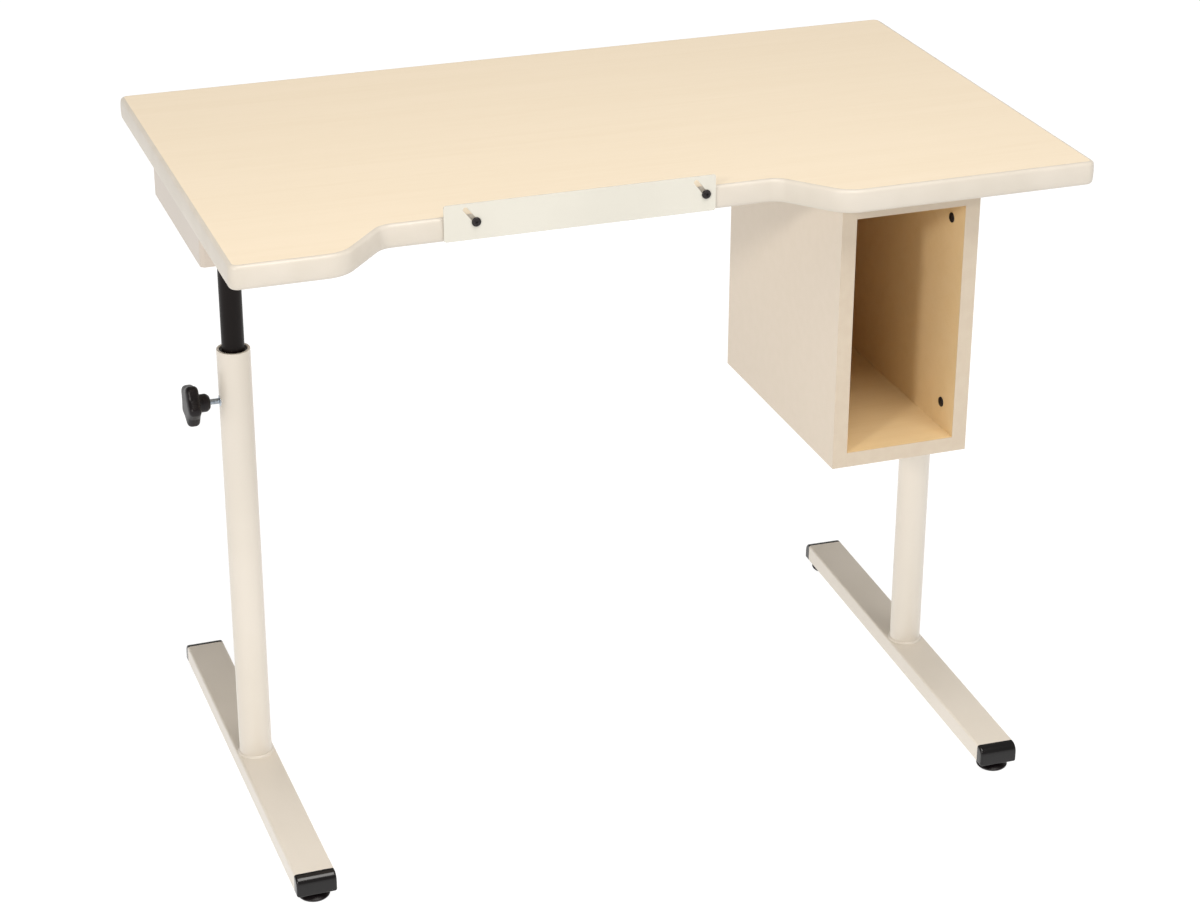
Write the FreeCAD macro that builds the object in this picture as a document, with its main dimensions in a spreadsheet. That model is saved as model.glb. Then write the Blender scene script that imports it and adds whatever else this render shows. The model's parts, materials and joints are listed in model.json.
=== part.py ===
import FreeCAD, Part
import math
import os
import Sketcher

# Height-adjustable sewing table. Millimetres, +X to the right, +Y to the back, +Z up.
# The origin is on the floor under the middle of the top.
doc = FreeCAD.newDocument("sewing_table")
sheet = doc.addObject("Spreadsheet::Sheet", "sizes")


class Size:
    """A number together with the sheet expression that gives it."""

    def __init__(self, number, text=None):
        self.number = float(number)
        self.text = text if text else "%.9g" % number

    def join(self, other, sign, number):
        return Size(number, "(%s %s %s)" % (self.text, sign, other.text))

    def __add__(self, other):
        other = asSize(other)
        return self.join(other, "+", self.number + other.number)

    def __sub__(self, other):
        other = asSize(other)
        return self.join(other, "-", self.number - other.number)

    def __mul__(self, other):
        other = asSize(other)
        return self.join(other, "*", self.number * other.number)

    def __truediv__(self, other):
        other = asSize(other)
        return self.join(other, "/", self.number / other.number)

    def __neg__(self):
        return Size(-self.number, "(0 - %s)" % self.text)


def asSize(value):
    return value if isinstance(value, Size) else Size(value)


nextRow = 1


def driving(alias, number):
    """Put one driving size in the sheet and return it."""
    global nextRow
    sheet.set("A%d" % nextRow, alias)
    sheet.set("B%d" % nextRow, "%.9g" % number)
    sheet.setAlias("B%d" % nextRow, alias)
    nextRow += 1
    return Size(number, "sizes." + alias)


# Table top
topWidth = driving("topWidth", 1067)
topDepth = driving("topDepth", 637)
topHeight = driving("topHeight", 842.7)            # work surface above the floor
coreThickness = driving("coreThickness", 27.6)
sheetThickness = driving("sheetThickness", 0.8)    # laminate above and backer below
cornerRadius = driving("cornerRadius", 12)
bandThickness = driving("bandThickness", 6)
bandFlat = driving("bandFlat", 0.5)                # left flat on the rim beside its rounding
spineDepth = driving("spineDepth", 9)              # barbed spine that holds the band in the core
spineThickness = driving("spineThickness", 2)
spineClearance = driving("spineClearance", 0.2)
smallestCorner = driving("smallestCorner", 0.5)    # no inset makes a corner sharper than this
overrun = driving("overrun", 1)                    # how far a cutter runs past what it cuts

# Recess in the front edge where the user sits
recessCentre = driving("recessCentre", -97.5)
recessMouth = driving("recessMouth", 647)
recessDepth = driving("recessDepth", 69.5)
swingRun = driving("swingRun", 93)                 # length in X of each S-shaped end
swingOuterRadius = driving("swingOuterRadius", 46)
swingInnerRadius = driving("swingInnerRadius", 25)

# Ledge on the recess
ledgeLength = driving("ledgeLength", 333.5)
ledgeHeight = driving("ledgeHeight", 44.4)
ledgeThickness = driving("ledgeThickness", 2)
ledgeOffset = driving("ledgeOffset", 171)          # left end from the middle of the recess
ledgeStand = driving("ledgeStand", 15.9)           # height above the work surface
ledgeShift = driving("ledgeShift", 12.7)           # sideways travel while it drops by ledgeStand
ledgeCorner = driving("ledgeCorner", 3)
ledgeScrewSpacing = driving("ledgeScrewSpacing", 282.5)
ledgeScrewInset = driving("ledgeScrewInset", 38.8)
ledgeScrewDrop = driving("ledgeScrewDrop", 7.1)    # screw axis below the work surface
ledgeScrewRadius = driving("ledgeScrewRadius", 2.5)
ledgeScrewLength = driving("ledgeScrewLength", 28)
ledgeHeadRadius = driving("ledgeHeadRadius", 5.6)
slideClearance = driving("slideClearance", 0.3)

# Telescopic posts
postInset = driving("postInset", 65.5)             # post axis inside the end of the top
postY = driving("postY", -1)
postWall = driving("postWall", 3.5)
postTop = driving("postTop", 611)
innerRadius = driving("innerRadius", 14.1)
innerWall = driving("innerWall", 2)
innerOverlap = driving("innerOverlap", 195)        # length of inner post inside the outer one
runClearance = driving("runClearance", 0.1)
bushingThickness = driving("bushingThickness", 3.4)
bushingLength = driving("bushingLength", 40)
bushingDrop = driving("bushingDrop", 1.5)
guideLength = driving("guideLength", 30)
guideFloor = driving("guideFloor", 4)

# Feet
footWidth = driving("footWidth", 50.8)
footHeight = driving("footHeight", 25.4)
footLength = driving("footLength", 605.5)
footBottom = driving("footBottom", 12)
footWall = driving("footWall", 2)
footRounding = driving("footRounding", 3)
capReach = driving("capReach", 14)
capRounding = driving("capRounding", 12)
capSideRounding = driving("capSideRounding", 4)
capLip = driving("capLip", 2)
plugLength = driving("plugLength", 28)
leftYaw = driving("leftYaw", 0.25)                 # each foot stands turned a little on its post
rightYaw = driving("rightYaw", -1.8)

# Levelling glides
glideInset = driving("glideInset", 6.5)            # glide axis inside the end of the foot tube
glideRadius = driving("glideRadius", 21.2)
glideSole = driving("glideSole", 18)
glideHeight = driving("glideHeight", 10.5)
glideRim = driving("glideRim", 3.5)
glideHub = driving("glideHub", 9)
stemRadius = driving("stemRadius", 4)
stemBottom = driving("stemBottom", 3)
stemHoleClearance = driving("stemHoleClearance", 0.6)
socketRoom = driving("socketRoom", 1)              # free depth above the end of the stem
socketRoof = driving("socketRoof", 3.3)            # plug left above the socket

# Clamp knobs
knobDrop = driving("knobDrop", 68)                 # stud axis below the top of the outer post
studRadius = driving("studRadius", 4)
studClearance = driving("studClearance", 0.4)
insertRadius = driving("insertRadius", 5.5)
insertFlangeRadius = driving("insertFlangeRadius", 7)
insertFlange = driving("insertFlange", 1.4)
insertSink = driving("insertSink", 1)              # flange let into the post
insertGap = driving("insertGap", 0.9)              # barrel short of the inner post
knobGap = driving("knobGap", 12.5)                 # bare stud between post and hub
hubRadius = driving("hubRadius", 11.5)
hubLength = driving("hubLength", 14.5)
hubNose = driving("hubNose", 4)                      # length of the tapered end beside the stud
hubNoseRadius = driving("hubNoseRadius", 8)
headThickness = driving("headThickness", 16)
lobeCount = 5
lobeRadius = driving("lobeRadius", 8.5)
lobeCircle = driving("lobeCircle", 19)
valleyRadius = driving("valleyRadius", 8)
valleyCircle = driving("valleyCircle", 30.5)
headRounding = driving("headRounding", 6)
studSunk = driving("studSunk", 22)

# Brackets that carry the top on the inner posts
bracketWidth = driving("bracketWidth", 120)
bracketLength = driving("bracketLength", 268)
bracketHeight = driving("bracketHeight", 40)
bracketWall = driving("bracketWall", 2.5)
bracketCorner = driving("bracketCorner", 6)
bracketScrewSide = driving("bracketScrewSide", 20)
bracketScrewEnd = driving("bracketScrewEnd", 29)
woodScrewRadius = driving("woodScrewRadius", 2.25)
woodScrewLength = driving("woodScrewLength", 20)
woodHeadRadius = driving("woodHeadRadius", 4.8)
woodHeadFace = driving("woodHeadFace", 3.36)
woodHeadHeight = driving("woodHeadHeight", 2.6)
holeClearance = driving("holeClearance", 0.25)

# Cubby that hangs under the right-hand side of the top
cubbyInset = driving("cubbyInset", 130.5)
cubbyWidth = driving("cubbyWidth", 182)
cubbySetback = driving("cubbySetback", 47.5)
cubbyDepth = driving("cubbyDepth", 351)
cubbyHeight = driving("cubbyHeight", 353.5)
panelThickness = driving("panelThickness", 19)
cubbyTopThickness = driving("cubbyTopThickness", 25.4)
cubbyBackThickness = driving("cubbyBackThickness", 16)
dowelRadius = driving("dowelRadius", 4)
dowelLength = driving("dowelLength", 30)
dowelInSide = driving("dowelInSide", 10)
dowelMargin = driving("dowelMargin", 45)
mountScrewSide = driving("mountScrewSide", 24.5)
mountScrewMargin = driving("mountScrewMargin", 60)
mountScrewRadius = driving("mountScrewRadius", 2.5)
mountScrewGrip = driving("mountScrewGrip", 18)
mountHeadRadius = driving("mountHeadRadius", 6)
mountHeadHeight = driving("mountHeadHeight", 3)
sideScrewInset = driving("sideScrewInset", 35.5)
sideScrewMargin = driving("sideScrewMargin", 53)
sideScrewCover = driving("sideScrewCover", 5)      # board left beyond the point of the screw
sideHeadRadius = driving("sideHeadRadius", 6.3)
sideHeadHeight = driving("sideHeadHeight", 2.5)
doc.recompute()

# Places that follow from the driving sizes
coreTop = topHeight - sheetThickness
coreBottom = coreTop - coreThickness
underside = coreBottom - sheetThickness
bandHeight = coreThickness + sheetThickness * 2
bandRounding = bandThickness - bandFlat
frontFace = -(topDepth / 2)
recessFace = frontFace + recessDepth
postSpacing = topWidth - postInset * 2
innerBottom = postTop - innerOverlap
footTop = footBottom + footHeight
footEnd = footLength / 2
postBore = innerRadius + bushingThickness
postRadius = postBore + postWall
plugTop = footTop - footWall - runClearance
stemTop = plugTop - socketRoof - socketRoom
knobHeight = postTop - knobDrop
insertSeat = postRadius - insertSink
insertLength = insertSeat - innerRadius - insertGap
hubStart = postRadius + knobGap
webBottom = underside - bracketWall
bracketScrewX = bracketWidth / 2 - bracketScrewSide
bracketScrewY = bracketLength / 2 - bracketScrewEnd
cubbyBottom = underside - cubbyHeight
cubbyRight = topWidth / 2 - cubbyInset
cubbyLeft = cubbyRight - cubbyWidth
cubbyFront = frontFace + cubbySetback
cubbyBack = cubbyFront + cubbyDepth
mountScrewX = cubbyWidth / 2 - panelThickness - mountScrewSide
sideScrewLength = panelThickness - sideScrewCover
ledgeLeft = recessCentre - ledgeOffset
ledgeTop = topHeight + ledgeStand
ledgeFront = recessFace - slideClearance - ledgeThickness
ledgeScrewZ = topHeight - ledgeScrewDrop
ledgeScrewX = [ledgeLeft + ledgeScrewInset, ledgeLeft + ledgeScrewInset + ledgeScrewSpacing]

subParts = []
touching = 0.001    # closer than this counts as touching


# Helpers

def bind(thing, name, value):
    thing.setExpression(name, asSize(value).text)


def bindPlace(thing, x, y, z):
    for axis, value in zip("xyz", (x, y, z)):
        bind(thing, "Placement.Base." + axis, value)


def box(name, x, y, z, length, width, height):
    made = doc.addObject("Part::Box", name)
    bind(made, "Length", length)
    bind(made, "Width", width)
    bind(made, "Height", height)
    bindPlace(made, x, y, z)
    return made


turns = {"x": FreeCAD.Rotation(FreeCAD.Vector(0, 1, 0), 90),
         "y": FreeCAD.Rotation(FreeCAD.Vector(1, 0, 0), -90),
         "z": FreeCAD.Rotation()}


def rod(name, axis, radius, length, x, y, z):
    """A cylinder that starts at x, y, z and runs along the positive axis."""
    made = doc.addObject("Part::Cylinder", name)
    made.Placement = FreeCAD.Placement(FreeCAD.Vector(), turns[axis])
    bind(made, "Radius", radius)
    bind(made, "Height", length)
    bindPlace(made, x, y, z)
    return made


def cut(name, base, tools):
    """The base without the tools."""
    tool = tools[0] if len(tools) == 1 else fuse(name + "_tools", tools)
    made = doc.addObject("Part::Cut", name)
    made.Base = base
    made.Tool = tool
    return made


def fuse(name, shapes):
    made = doc.addObject("Part::MultiFuse", name)
    made.Shapes = shapes
    return made


def group(name, solids):
    """Identical fasteners as one node of separate solids."""
    made = doc.addObject("Part::Compound", name)
    made.Links = solids
    return made


def keep(thing, label, x=0, y=0, angle=None):
    """Register a finished sub-part under the name of its node, turned about its post if it has an angle."""
    thing.Label = label
    if angle is not None:
        turn = FreeCAD.Rotation(FreeCAD.Vector(0, 0, 1), asSize(angle).number)
        thing.Placement = FreeCAD.Placement(FreeCAD.Vector(), turn)
        bind(thing, "Placement.Rotation.Angle", angle)
        bind(thing, "Placement.Base.x", x)
        bind(thing, "Placement.Base.y", y)
    subParts.append(thing)


def newBody(name):
    return doc.addObject("PartDesign::Body", name)


def newSketch(body, name, role, offset):
    """A sketch on one of the body's own origin planes, moved along that plane's normal."""
    made = body.newObject("Sketcher::SketchObject", name)
    plane = [item for item in body.Origin.OriginFeatures if item.Role == role][0]
    made.AttachmentSupport = (plane, [""])
    made.MapMode = "FlatFace"
    made.AttachmentOffset = FreeCAD.Placement(FreeCAD.Vector(0, 0, asSize(offset).number), FreeCAD.Rotation())
    bind(made, "AttachmentOffset.Base.z", offset)
    return made


def dimension(sketch, kind, refs, value):
    index = sketch.addConstraint(Sketcher.Constraint(kind, *refs, asSize(value).number))
    sketch.setExpression("Constraints[%d]" % index, asSize(value).text)


def arcLoop(sketch, corners):
    """A closed loop of arcs joined by tangent lines, in counter-clockwise order.

    Each corner is (x, y, radius, turn): the arc's centre and radius, and +1 where the
    outline turns left around it or -1 where it turns right.
    """
    count = len(corners)
    starts = [None] * count
    ends = [None] * count
    for i in range(count):
        x1, y1, r1, turn1 = corners[i]
        x2, y2, r2, turn2 = corners[(i + 1) % count]
        dx = x2.number - x1.number
        dy = y2.number - y1.number
        # The tangent line keeps each centre at its own radius, left of it where the turn is left.
        across = (turn2 * r2.number - turn1 * r1.number) / math.hypot(dx, dy)
        heading = math.atan2(dy, dx) - math.asin(across)
        nx = -math.sin(heading)
        ny = math.cos(heading)
        ends[i] = FreeCAD.Vector(x1.number - turn1 * r1.number * nx, y1.number - turn1 * r1.number * ny, 0)
        starts[(i + 1) % count] = FreeCAD.Vector(x2.number - turn2 * r2.number * nx,
                                                 y2.number - turn2 * r2.number * ny, 0)
    first = sketch.GeometryCount
    for i, (x, y, radius, turn) in enumerate(corners):
        centre = FreeCAD.Vector(x.number, y.number, 0)
        a, b = (starts[i], ends[i]) if turn > 0 else (ends[i], starts[i])
        angleA = math.atan2(a.y - centre.y, a.x - centre.x)
        angleB = math.atan2(b.y - centre.y, b.x - centre.x)
        if angleB < angleA:
            angleB += 2 * math.pi
        circle = Part.Circle(centre, FreeCAD.Vector(0, 0, 1), radius.number)
        sketch.addGeometry(Part.ArcOfCircle(circle, angleA, angleB), False)
        sketch.addGeometry(Part.LineSegment(ends[i], starts[(i + 1) % count]), False)
    for i, (x, y, radius, turn) in enumerate(corners):
        arc = first + 2 * i
        line = arc + 1
        nextArc = first + 2 * ((i + 1) % count)
        nextTurn = corners[(i + 1) % count][3]
        sketch.addConstraint(Sketcher.Constraint("Tangent", arc, 2 if turn > 0 else 1, line, 1))
        sketch.addConstraint(Sketcher.Constraint("Tangent", line, 2, nextArc, 1 if nextTurn > 0 else 2))
    for i, (x, y, radius, turn) in enumerate(corners):
        arc = first + 2 * i
        dimension(sketch, "Radius", (arc,), radius)
        dimension(sketch, "DistanceX", (-1, 1, arc, 3), x)
        dimension(sketch, "DistanceY", (-1, 1, arc, 3), y)


def insetRadius(radius, inset):
    """A rounded corner's radius once its outline has moved inwards."""
    left = radius - inset
    return left if left.number > smallestCorner.number else smallestCorner


def roundedRectangle(sketch, x, y, width, height, radius):
    """A rectangle centred on x, y with rounded corners."""
    halfX = width / 2 - radius
    halfY = height / 2 - radius
    arcLoop(sketch, [(x - halfX, y - halfY, radius, 1), (x + halfX, y - halfY, radius, 1),
                     (x + halfX, y + halfY, radius, 1), (x - halfX, y + halfY, radius, 1)])


def pad(body, sketch, name, length, backwards=False):
    made = body.newObject("PartDesign::Pad", name)
    made.Profile = sketch
    made.Reversed = backwards
    bind(made, "Length", length)
    doc.recompute()
    return made


def fillet(body, feature, name, radius, wanted):
    """Round the edges of the feature whose middle point the test accepts."""
    names = []
    for number, edge in enumerate(feature.Shape.Edges):
        middle = edge.valueAt((edge.FirstParameter + edge.LastParameter) / 2)
        if wanted(middle):
            names.append("Edge%d" % (number + 1))
    made = body.newObject("PartDesign::Fillet", name)
    made.Base = (feature, names)
    bind(made, "Radius", radius)
    doc.recompute()
    return made


# Table top

def topOutline(sketch, inset):
    """The top's outline, moved inwards by the inset."""
    inset = asSize(inset)
    corner = insetRadius(cornerRadius, inset)
    side = topWidth / 2 - inset - corner
    depth = topDepth / 2 - inset - corner
    outer = swingOuterRadius - inset
    inner = swingInnerRadius + inset
    leftMouth = recessCentre - recessMouth / 2
    rightMouth = recessCentre + recessMouth / 2
    outerY = frontFace + swingOuterRadius
    innerY = recessFace - swingInnerRadius
    arcLoop(sketch, [(-side, -depth, corner, 1),
                     (leftMouth, outerY, outer, 1), (leftMouth + swingRun, innerY, inner, -1),
                     (rightMouth - swingRun, innerY, inner, -1), (rightMouth, outerY, outer, 1),
                     (side, -depth, corner, 1), (side, depth, corner, 1), (-side, depth, corner, 1)])


def topSheet(name, inset, bottom, thickness, innerInset=None):
    """A slab of the top's outline, or a ring where an inner inset is given."""
    body = newBody(name + "_blank")
    sketch = newSketch(body, name + "_outline", "XY_Plane", bottom)
    topOutline(sketch, inset)
    if innerInset is not None:
        topOutline(sketch, innerInset)
    return body, pad(body, sketch, name + "_pad", thickness)


def bracketScrewPlaces():
    places = []
    for side in (-1, 1):
        for across in (-1, 1):
            for along in (-1, 0, 1):
                places.append((postSpacing / 2 * side + bracketScrewX * across,
                               postY + bracketScrewY * along))
    return places


def mountScrewPlaces():
    centre = cubbyLeft + cubbyWidth / 2
    front = cubbyFront + mountScrewMargin
    back = cubbyBack - cubbyBackThickness - mountScrewMargin
    return [(centre + mountScrewX * across, y) for across in (-1, 1) for y in (front, back)]


def makeTop():
    middle = coreBottom + coreThickness / 2
    grooveHalf = spineThickness / 2 + spineClearance
    ledgeBite = ledgeScrewLength - ledgeThickness - slideClearance * 2

    core, corePad = topSheet("core", bandThickness, coreBottom, coreThickness)
    groove = topSheet("groove", bandThickness - overrun, middle - grooveHalf, grooveHalf * 2,
                      bandThickness + spineDepth + spineClearance)[0]
    pilots = [groove]
    for i, (x, y) in enumerate(bracketScrewPlaces()):
        pilots.append(rod("bracket_pilot_%d" % i, "z", woodScrewRadius, woodScrewLength, x, y, webBottom))
    for i, (x, y) in enumerate(mountScrewPlaces()):
        pilots.append(rod("mount_pilot_%d" % i, "z", mountScrewRadius, mountScrewGrip + sheetThickness,
                          x, y, underside))
    for i, x in enumerate(ledgeScrewX):
        pilots.append(rod("ledge_pilot_%d" % i, "y", ledgeScrewRadius, ledgeBite, x, recessFace, ledgeScrewZ))
    keep(cut("core_drilled", core, pilots), "top_core")

    keep(topSheet("laminate", bandThickness, coreTop, sheetThickness)[0], "top_laminate")
    backer = topSheet("backer", bandThickness, underside, sheetThickness)[0]
    holes = []
    for i, (x, y) in enumerate(bracketScrewPlaces()):
        holes.append(rod("backer_hole_%d" % i, "z", woodScrewRadius, sheetThickness, x, y, underside))
    for i, (x, y) in enumerate(mountScrewPlaces()):
        holes.append(rod("backer_mount_hole_%d" % i, "z", mountScrewRadius, sheetThickness, x, y, underside))
    keep(cut("backer_drilled", backer, holes), "top_backer")

    rim, facePad = topSheet("band", 0, underside, bandHeight, bandThickness)
    low = underside.number + touching
    high = topHeight.number - touching
    walls = [face for face in facePad.Shape.Faces if isOuterWall(face, corePad.Shape)]

    def onRim(point):
        level = point.z < low or point.z > high
        return level and any(wall.distToShape(Part.Vertex(point))[0] < touching for wall in walls)

    fillet(rim, facePad, "band_rounding", bandRounding, onRim)
    spine = topSheet("spine", bandThickness, middle - spineThickness / 2, spineThickness,
                     bandThickness + spineDepth)[0]
    band = fuse("band_with_spine", [rim, spine])
    bores = [rod("band_bore_%d" % i, "y", ledgeScrewRadius, bandThickness * 2, x,
                 recessFace - bandThickness / 2, ledgeScrewZ) for i, x in enumerate(ledgeScrewX)]
    keep(cut("band_drilled", band, bores), "edge_band")


def isOuterWall(face, board):
    """True for an upright face of the band with the board behind it, one and a half bands in."""
    u = (face.ParameterRange[0] + face.ParameterRange[1]) / 2
    v = (face.ParameterRange[2] + face.ParameterRange[3]) / 2
    normal = face.normalAt(u, v)
    if abs(normal.z) > 0.5:
        return False
    probe = Part.Vertex(face.valueAt(u, v) - normal * (bandThickness.number * 1.5))
    return probe.distToShape(board)[0] < touching


def makeLedge():
    """Pencil ledge: a flat bar with two slanted slots, and the screws it slides on."""
    body = newBody("ledge_blank")
    sketch = newSketch(body, "ledge_outline", "XZ_Plane", -ledgeFront)
    centreX = ledgeLeft + ledgeLength / 2
    centreZ = ledgeTop - ledgeHeight / 2
    roundedRectangle(sketch, centreX, centreZ, ledgeLength, ledgeHeight, ledgeCorner)
    slotRadius = ledgeScrewRadius + slideClearance
    for x in ledgeScrewX:
        arcLoop(sketch, [(x, ledgeScrewZ, slotRadius, 1),
                         (x - ledgeShift, ledgeScrewZ + ledgeStand, slotRadius, 1)])
    pad(body, sketch, "ledge_pad", ledgeThickness, True)
    keep(body, "ledge_plate")

    screws = []
    headFace = ledgeFront - slideClearance
    for i, x in enumerate(ledgeScrewX):
        shank = rod("ledge_shank_%d" % i, "y", ledgeScrewRadius, ledgeScrewLength, x, headFace, ledgeScrewZ)
        dome = doc.addObject("Part::Sphere", "ledge_head_%d" % i)
        dome.Placement = FreeCAD.Placement(FreeCAD.Vector(), FreeCAD.Rotation(FreeCAD.Vector(1, 0, 0), 90))
        bind(dome, "Radius", ledgeHeadRadius)
        dome.Angle1 = 0
        bindPlace(dome, x, headFace, ledgeScrewZ)
        headWidth = ledgeHeadRadius * 2
        flat = box("ledge_head_flat_%d" % i, x - ledgeHeadRadius, headFace - ledgeHeadRadius / 2,
                   ledgeScrewZ - ledgeHeadRadius, headWidth, ledgeHeadRadius / 2, headWidth)
        head = doc.addObject("Part::Common", "ledge_head_cap_%d" % i)
        head.Base = dome
        head.Tool = flat
        screws.append(fuse("ledge_screw_%d" % i, [shank, head]))
    keep(group("ledge_screw_group", screws), "ledge_screws")


# Legs

def footSection(sketch, inset):
    centreZ = footBottom + footHeight / 2
    roundedRectangle(sketch, Size(0), centreZ, footWidth - inset * 2, footHeight - inset * 2,
                     insetRadius(footRounding, inset))


def makeLowerLeg(side, x, yaw, knobTurn):
    """Foot tube, outer post, bushing and clamp insert of one lower leg."""
    foot = newBody(side + "_foot_blank")
    sketch = newSketch(foot, side + "_foot_section", "XZ_Plane", -footEnd)
    footSection(sketch, Size(0))
    footSection(sketch, footWall)
    pad(foot, sketch, side + "_foot_pad", footLength)
    stemHoles = [rod("%s_stem_hole_%d" % (side, i), "z", stemRadius + stemHoleClearance, footWall * 2,
                     0, y, footBottom - footWall / 2)
                 for i, y in enumerate((-(footEnd - glideInset), footEnd - glideInset))]
    keep(cut(side + "_foot_drilled", foot, stemHoles), side + "_foot_tube", x, postY, yaw)

    outside = rod(side + "_post_outside", "z", postRadius, postTop - footTop, 0, 0, footTop)
    bore = rod(side + "_post_bore", "z", postBore, postTop - footTop, 0, 0, footTop)
    insertHole = rod(side + "_insert_hole", "x", insertRadius, postRadius, 0, 0, knobHeight)
    insertSpot = rod(side + "_insert_spot", "x", insertFlangeRadius, postRadius, insertSeat, 0, knobHeight)
    post = cut(side + "_post_drilled", outside, [bore, insertHole, insertSpot])
    keep(post, side + "_outer_post", x, postY, knobTurn)

    bushingTop = postTop - bushingDrop
    ring = rod(side + "_bushing_ring", "z", postBore, bushingLength, 0, 0, bushingTop - bushingLength)
    eye = rod(side + "_bushing_eye", "z", innerRadius + runClearance, bushingLength, 0, 0,
              bushingTop - bushingLength)
    keep(cut(side + "_bushing_bored", ring, [eye]), side + "_post_bushing", x, postY, knobTurn)

    barrel = rod(side + "_insert_barrel", "x", insertRadius, insertLength, insertSeat - insertLength,
                 0, knobHeight)
    flange = rod(side + "_insert_flange", "x", insertFlangeRadius, insertFlange, insertSeat, 0, knobHeight)
    thread = rod(side + "_insert_thread", "x", studRadius + runClearance, insertLength + insertFlange,
                 insertSeat - insertLength, 0, knobHeight)
    insert = cut(side + "_insert_bored", fuse(side + "_insert_solid", [barrel, flange]), [thread])
    keep(insert, side + "_clamp_insert", x, postY, knobTurn)


def makeKnob(side, x, knobTurn):
    """Five-lobed clamp knob with its threaded stud."""
    star = newBody(side + "_knob_star")
    sketch = newSketch(star, side + "_knob_outline", "YZ_Plane", hubStart + hubLength)
    lobes = []
    for i in range(lobeCount):
        lobeAngle = 2 * math.pi * i / lobeCount
        valleyAngle = lobeAngle + math.pi / lobeCount
        lobes.append((lobeCircle * math.cos(lobeAngle), knobHeight + lobeCircle * math.sin(lobeAngle),
                      lobeRadius, 1))
        lobes.append((valleyCircle * math.cos(valleyAngle), knobHeight + valleyCircle * math.sin(valleyAngle),
                      valleyRadius, -1))
    arcLoop(sketch, lobes)
    starPad = pad(star, sketch, side + "_knob_pad", headThickness)
    inside = (hubStart + hubLength).number + touching
    outside = (hubStart + hubLength + headThickness).number - touching
    fillet(star, starPad, side + "_knob_rounding", headRounding,
           lambda point: point.x < inside or point.x > outside)
    nose = doc.addObject("Part::Cone", side + "_knob_nose")
    nose.Placement = FreeCAD.Placement(FreeCAD.Vector(), turns["x"])
    bind(nose, "Radius1", hubNoseRadius)
    bind(nose, "Radius2", hubRadius)
    bind(nose, "Height", hubNose)
    bindPlace(nose, hubStart, 0, knobHeight)
    hub = rod(side + "_knob_hub", "x", hubRadius, hubLength - hubNose + headThickness / 2, hubStart + hubNose,
              0, knobHeight)
    bore = rod(side + "_knob_bore", "x", studRadius, studSunk, hubStart, 0, knobHeight)
    head = cut(side + "_knob_bored", fuse(side + "_knob_solid", [star, nose, hub]), [bore])
    keep(head, side + "_knob_head", x, postY, knobTurn)

    studTip = innerRadius + studClearance
    stud = rod(side + "_stud", "x", studRadius, hubStart + studSunk - studTip, studTip, 0, knobHeight)
    keep(group(side + "_stud_turned", [stud]), side + "_knob_stud", x, postY, knobTurn)


def makeFootEnd(name, x, turn):
    """End cap and levelling glide, made at the front end and turned about the post for the rear."""
    face = -(footEnd + capReach)
    behind = -(footEnd - capReach)
    section = newBody(name + "_cap_section")
    sectionSketch = newSketch(section, name + "_cap_section_outline", "XZ_Plane", footEnd)
    footSection(sectionSketch, Size(0))
    pad(section, sectionSketch, name + "_cap_section_pad", capReach)
    profile = newBody(name + "_cap_profile")
    profileSketch = newSketch(profile, name + "_cap_profile_outline", "YZ_Plane", -footWidth)
    arcLoop(profileSketch, [(face + capLip, footBottom + capLip, capLip, 1),
                            (behind - capLip, footBottom + capLip, capLip, 1),
                            (behind - capLip, footTop - capLip, capLip, 1),
                            (face + capRounding, footTop - capRounding, capRounding, 1)])
    pad(profile, profileSketch, name + "_cap_profile_pad", footWidth * 2)
    plan = newBody(name + "_cap_plan")
    planSketch = newSketch(plan, name + "_cap_plan_outline", "XY_Plane", 0)
    sideX = footWidth / 2 - capSideRounding
    arcLoop(planSketch, [(-sideX, face + capSideRounding, capSideRounding, 1),
                         (sideX, face + capSideRounding, capSideRounding, 1),
                         (sideX, behind - capSideRounding, capSideRounding, 1),
                         (-sideX, behind - capSideRounding, capSideRounding, 1)])
    pad(plan, planSketch, name + "_cap_plan_pad", footTop * 2)
    block = doc.addObject("Part::MultiCommon", name + "_cap_block")
    block.Shapes = [section, profile, plan]
    plug = newBody(name + "_cap_plug")
    plugSketch = newSketch(plug, name + "_plug_section", "XZ_Plane", footEnd)
    footSection(plugSketch, footWall + runClearance)
    pad(plug, plugSketch, name + "_plug_pad", plugLength, True)
    cap = fuse(name + "_cap_solid", [block, plug])
    glideY = -(footEnd - glideInset)
    socket = rod(name + "_cap_socket", "z", stemRadius + runClearance, stemTop + socketRoom - footBottom, 0,
                 glideY, footBottom)
    keep(cut(name + "_cap_bored", cap, [socket]), name + "_end_cap", x, postY, turn)

    sole = doc.addObject("Part::Cone", name + "_glide_sole")
    bind(sole, "Radius1", glideSole)
    bind(sole, "Radius2", glideRadius)
    bind(sole, "Height", glideRim)
    bindPlace(sole, 0, glideY, 0)
    shoulder = doc.addObject("Part::Cone", name + "_glide_shoulder")
    bind(shoulder, "Radius1", glideRadius)
    bind(shoulder, "Radius2", glideHub)
    bind(shoulder, "Height", glideHeight - glideRim)
    bindPlace(shoulder, 0, glideY, glideRim)
    well = rod(name + "_glide_well", "z", stemRadius, glideHeight, 0, glideY, stemBottom)
    glide = cut(name + "_glide_bored", fuse(name + "_glide_solid", [sole, shoulder]), [well])
    keep(glide, name + "_glide_pad", x, postY, turn)
    stem = rod(name + "_stem", "z", stemRadius, stemTop - stemBottom, 0, glideY, stemBottom)
    keep(group(name + "_stem_turned", [stem]), name + "_glide_stem", x, postY, turn)


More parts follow.
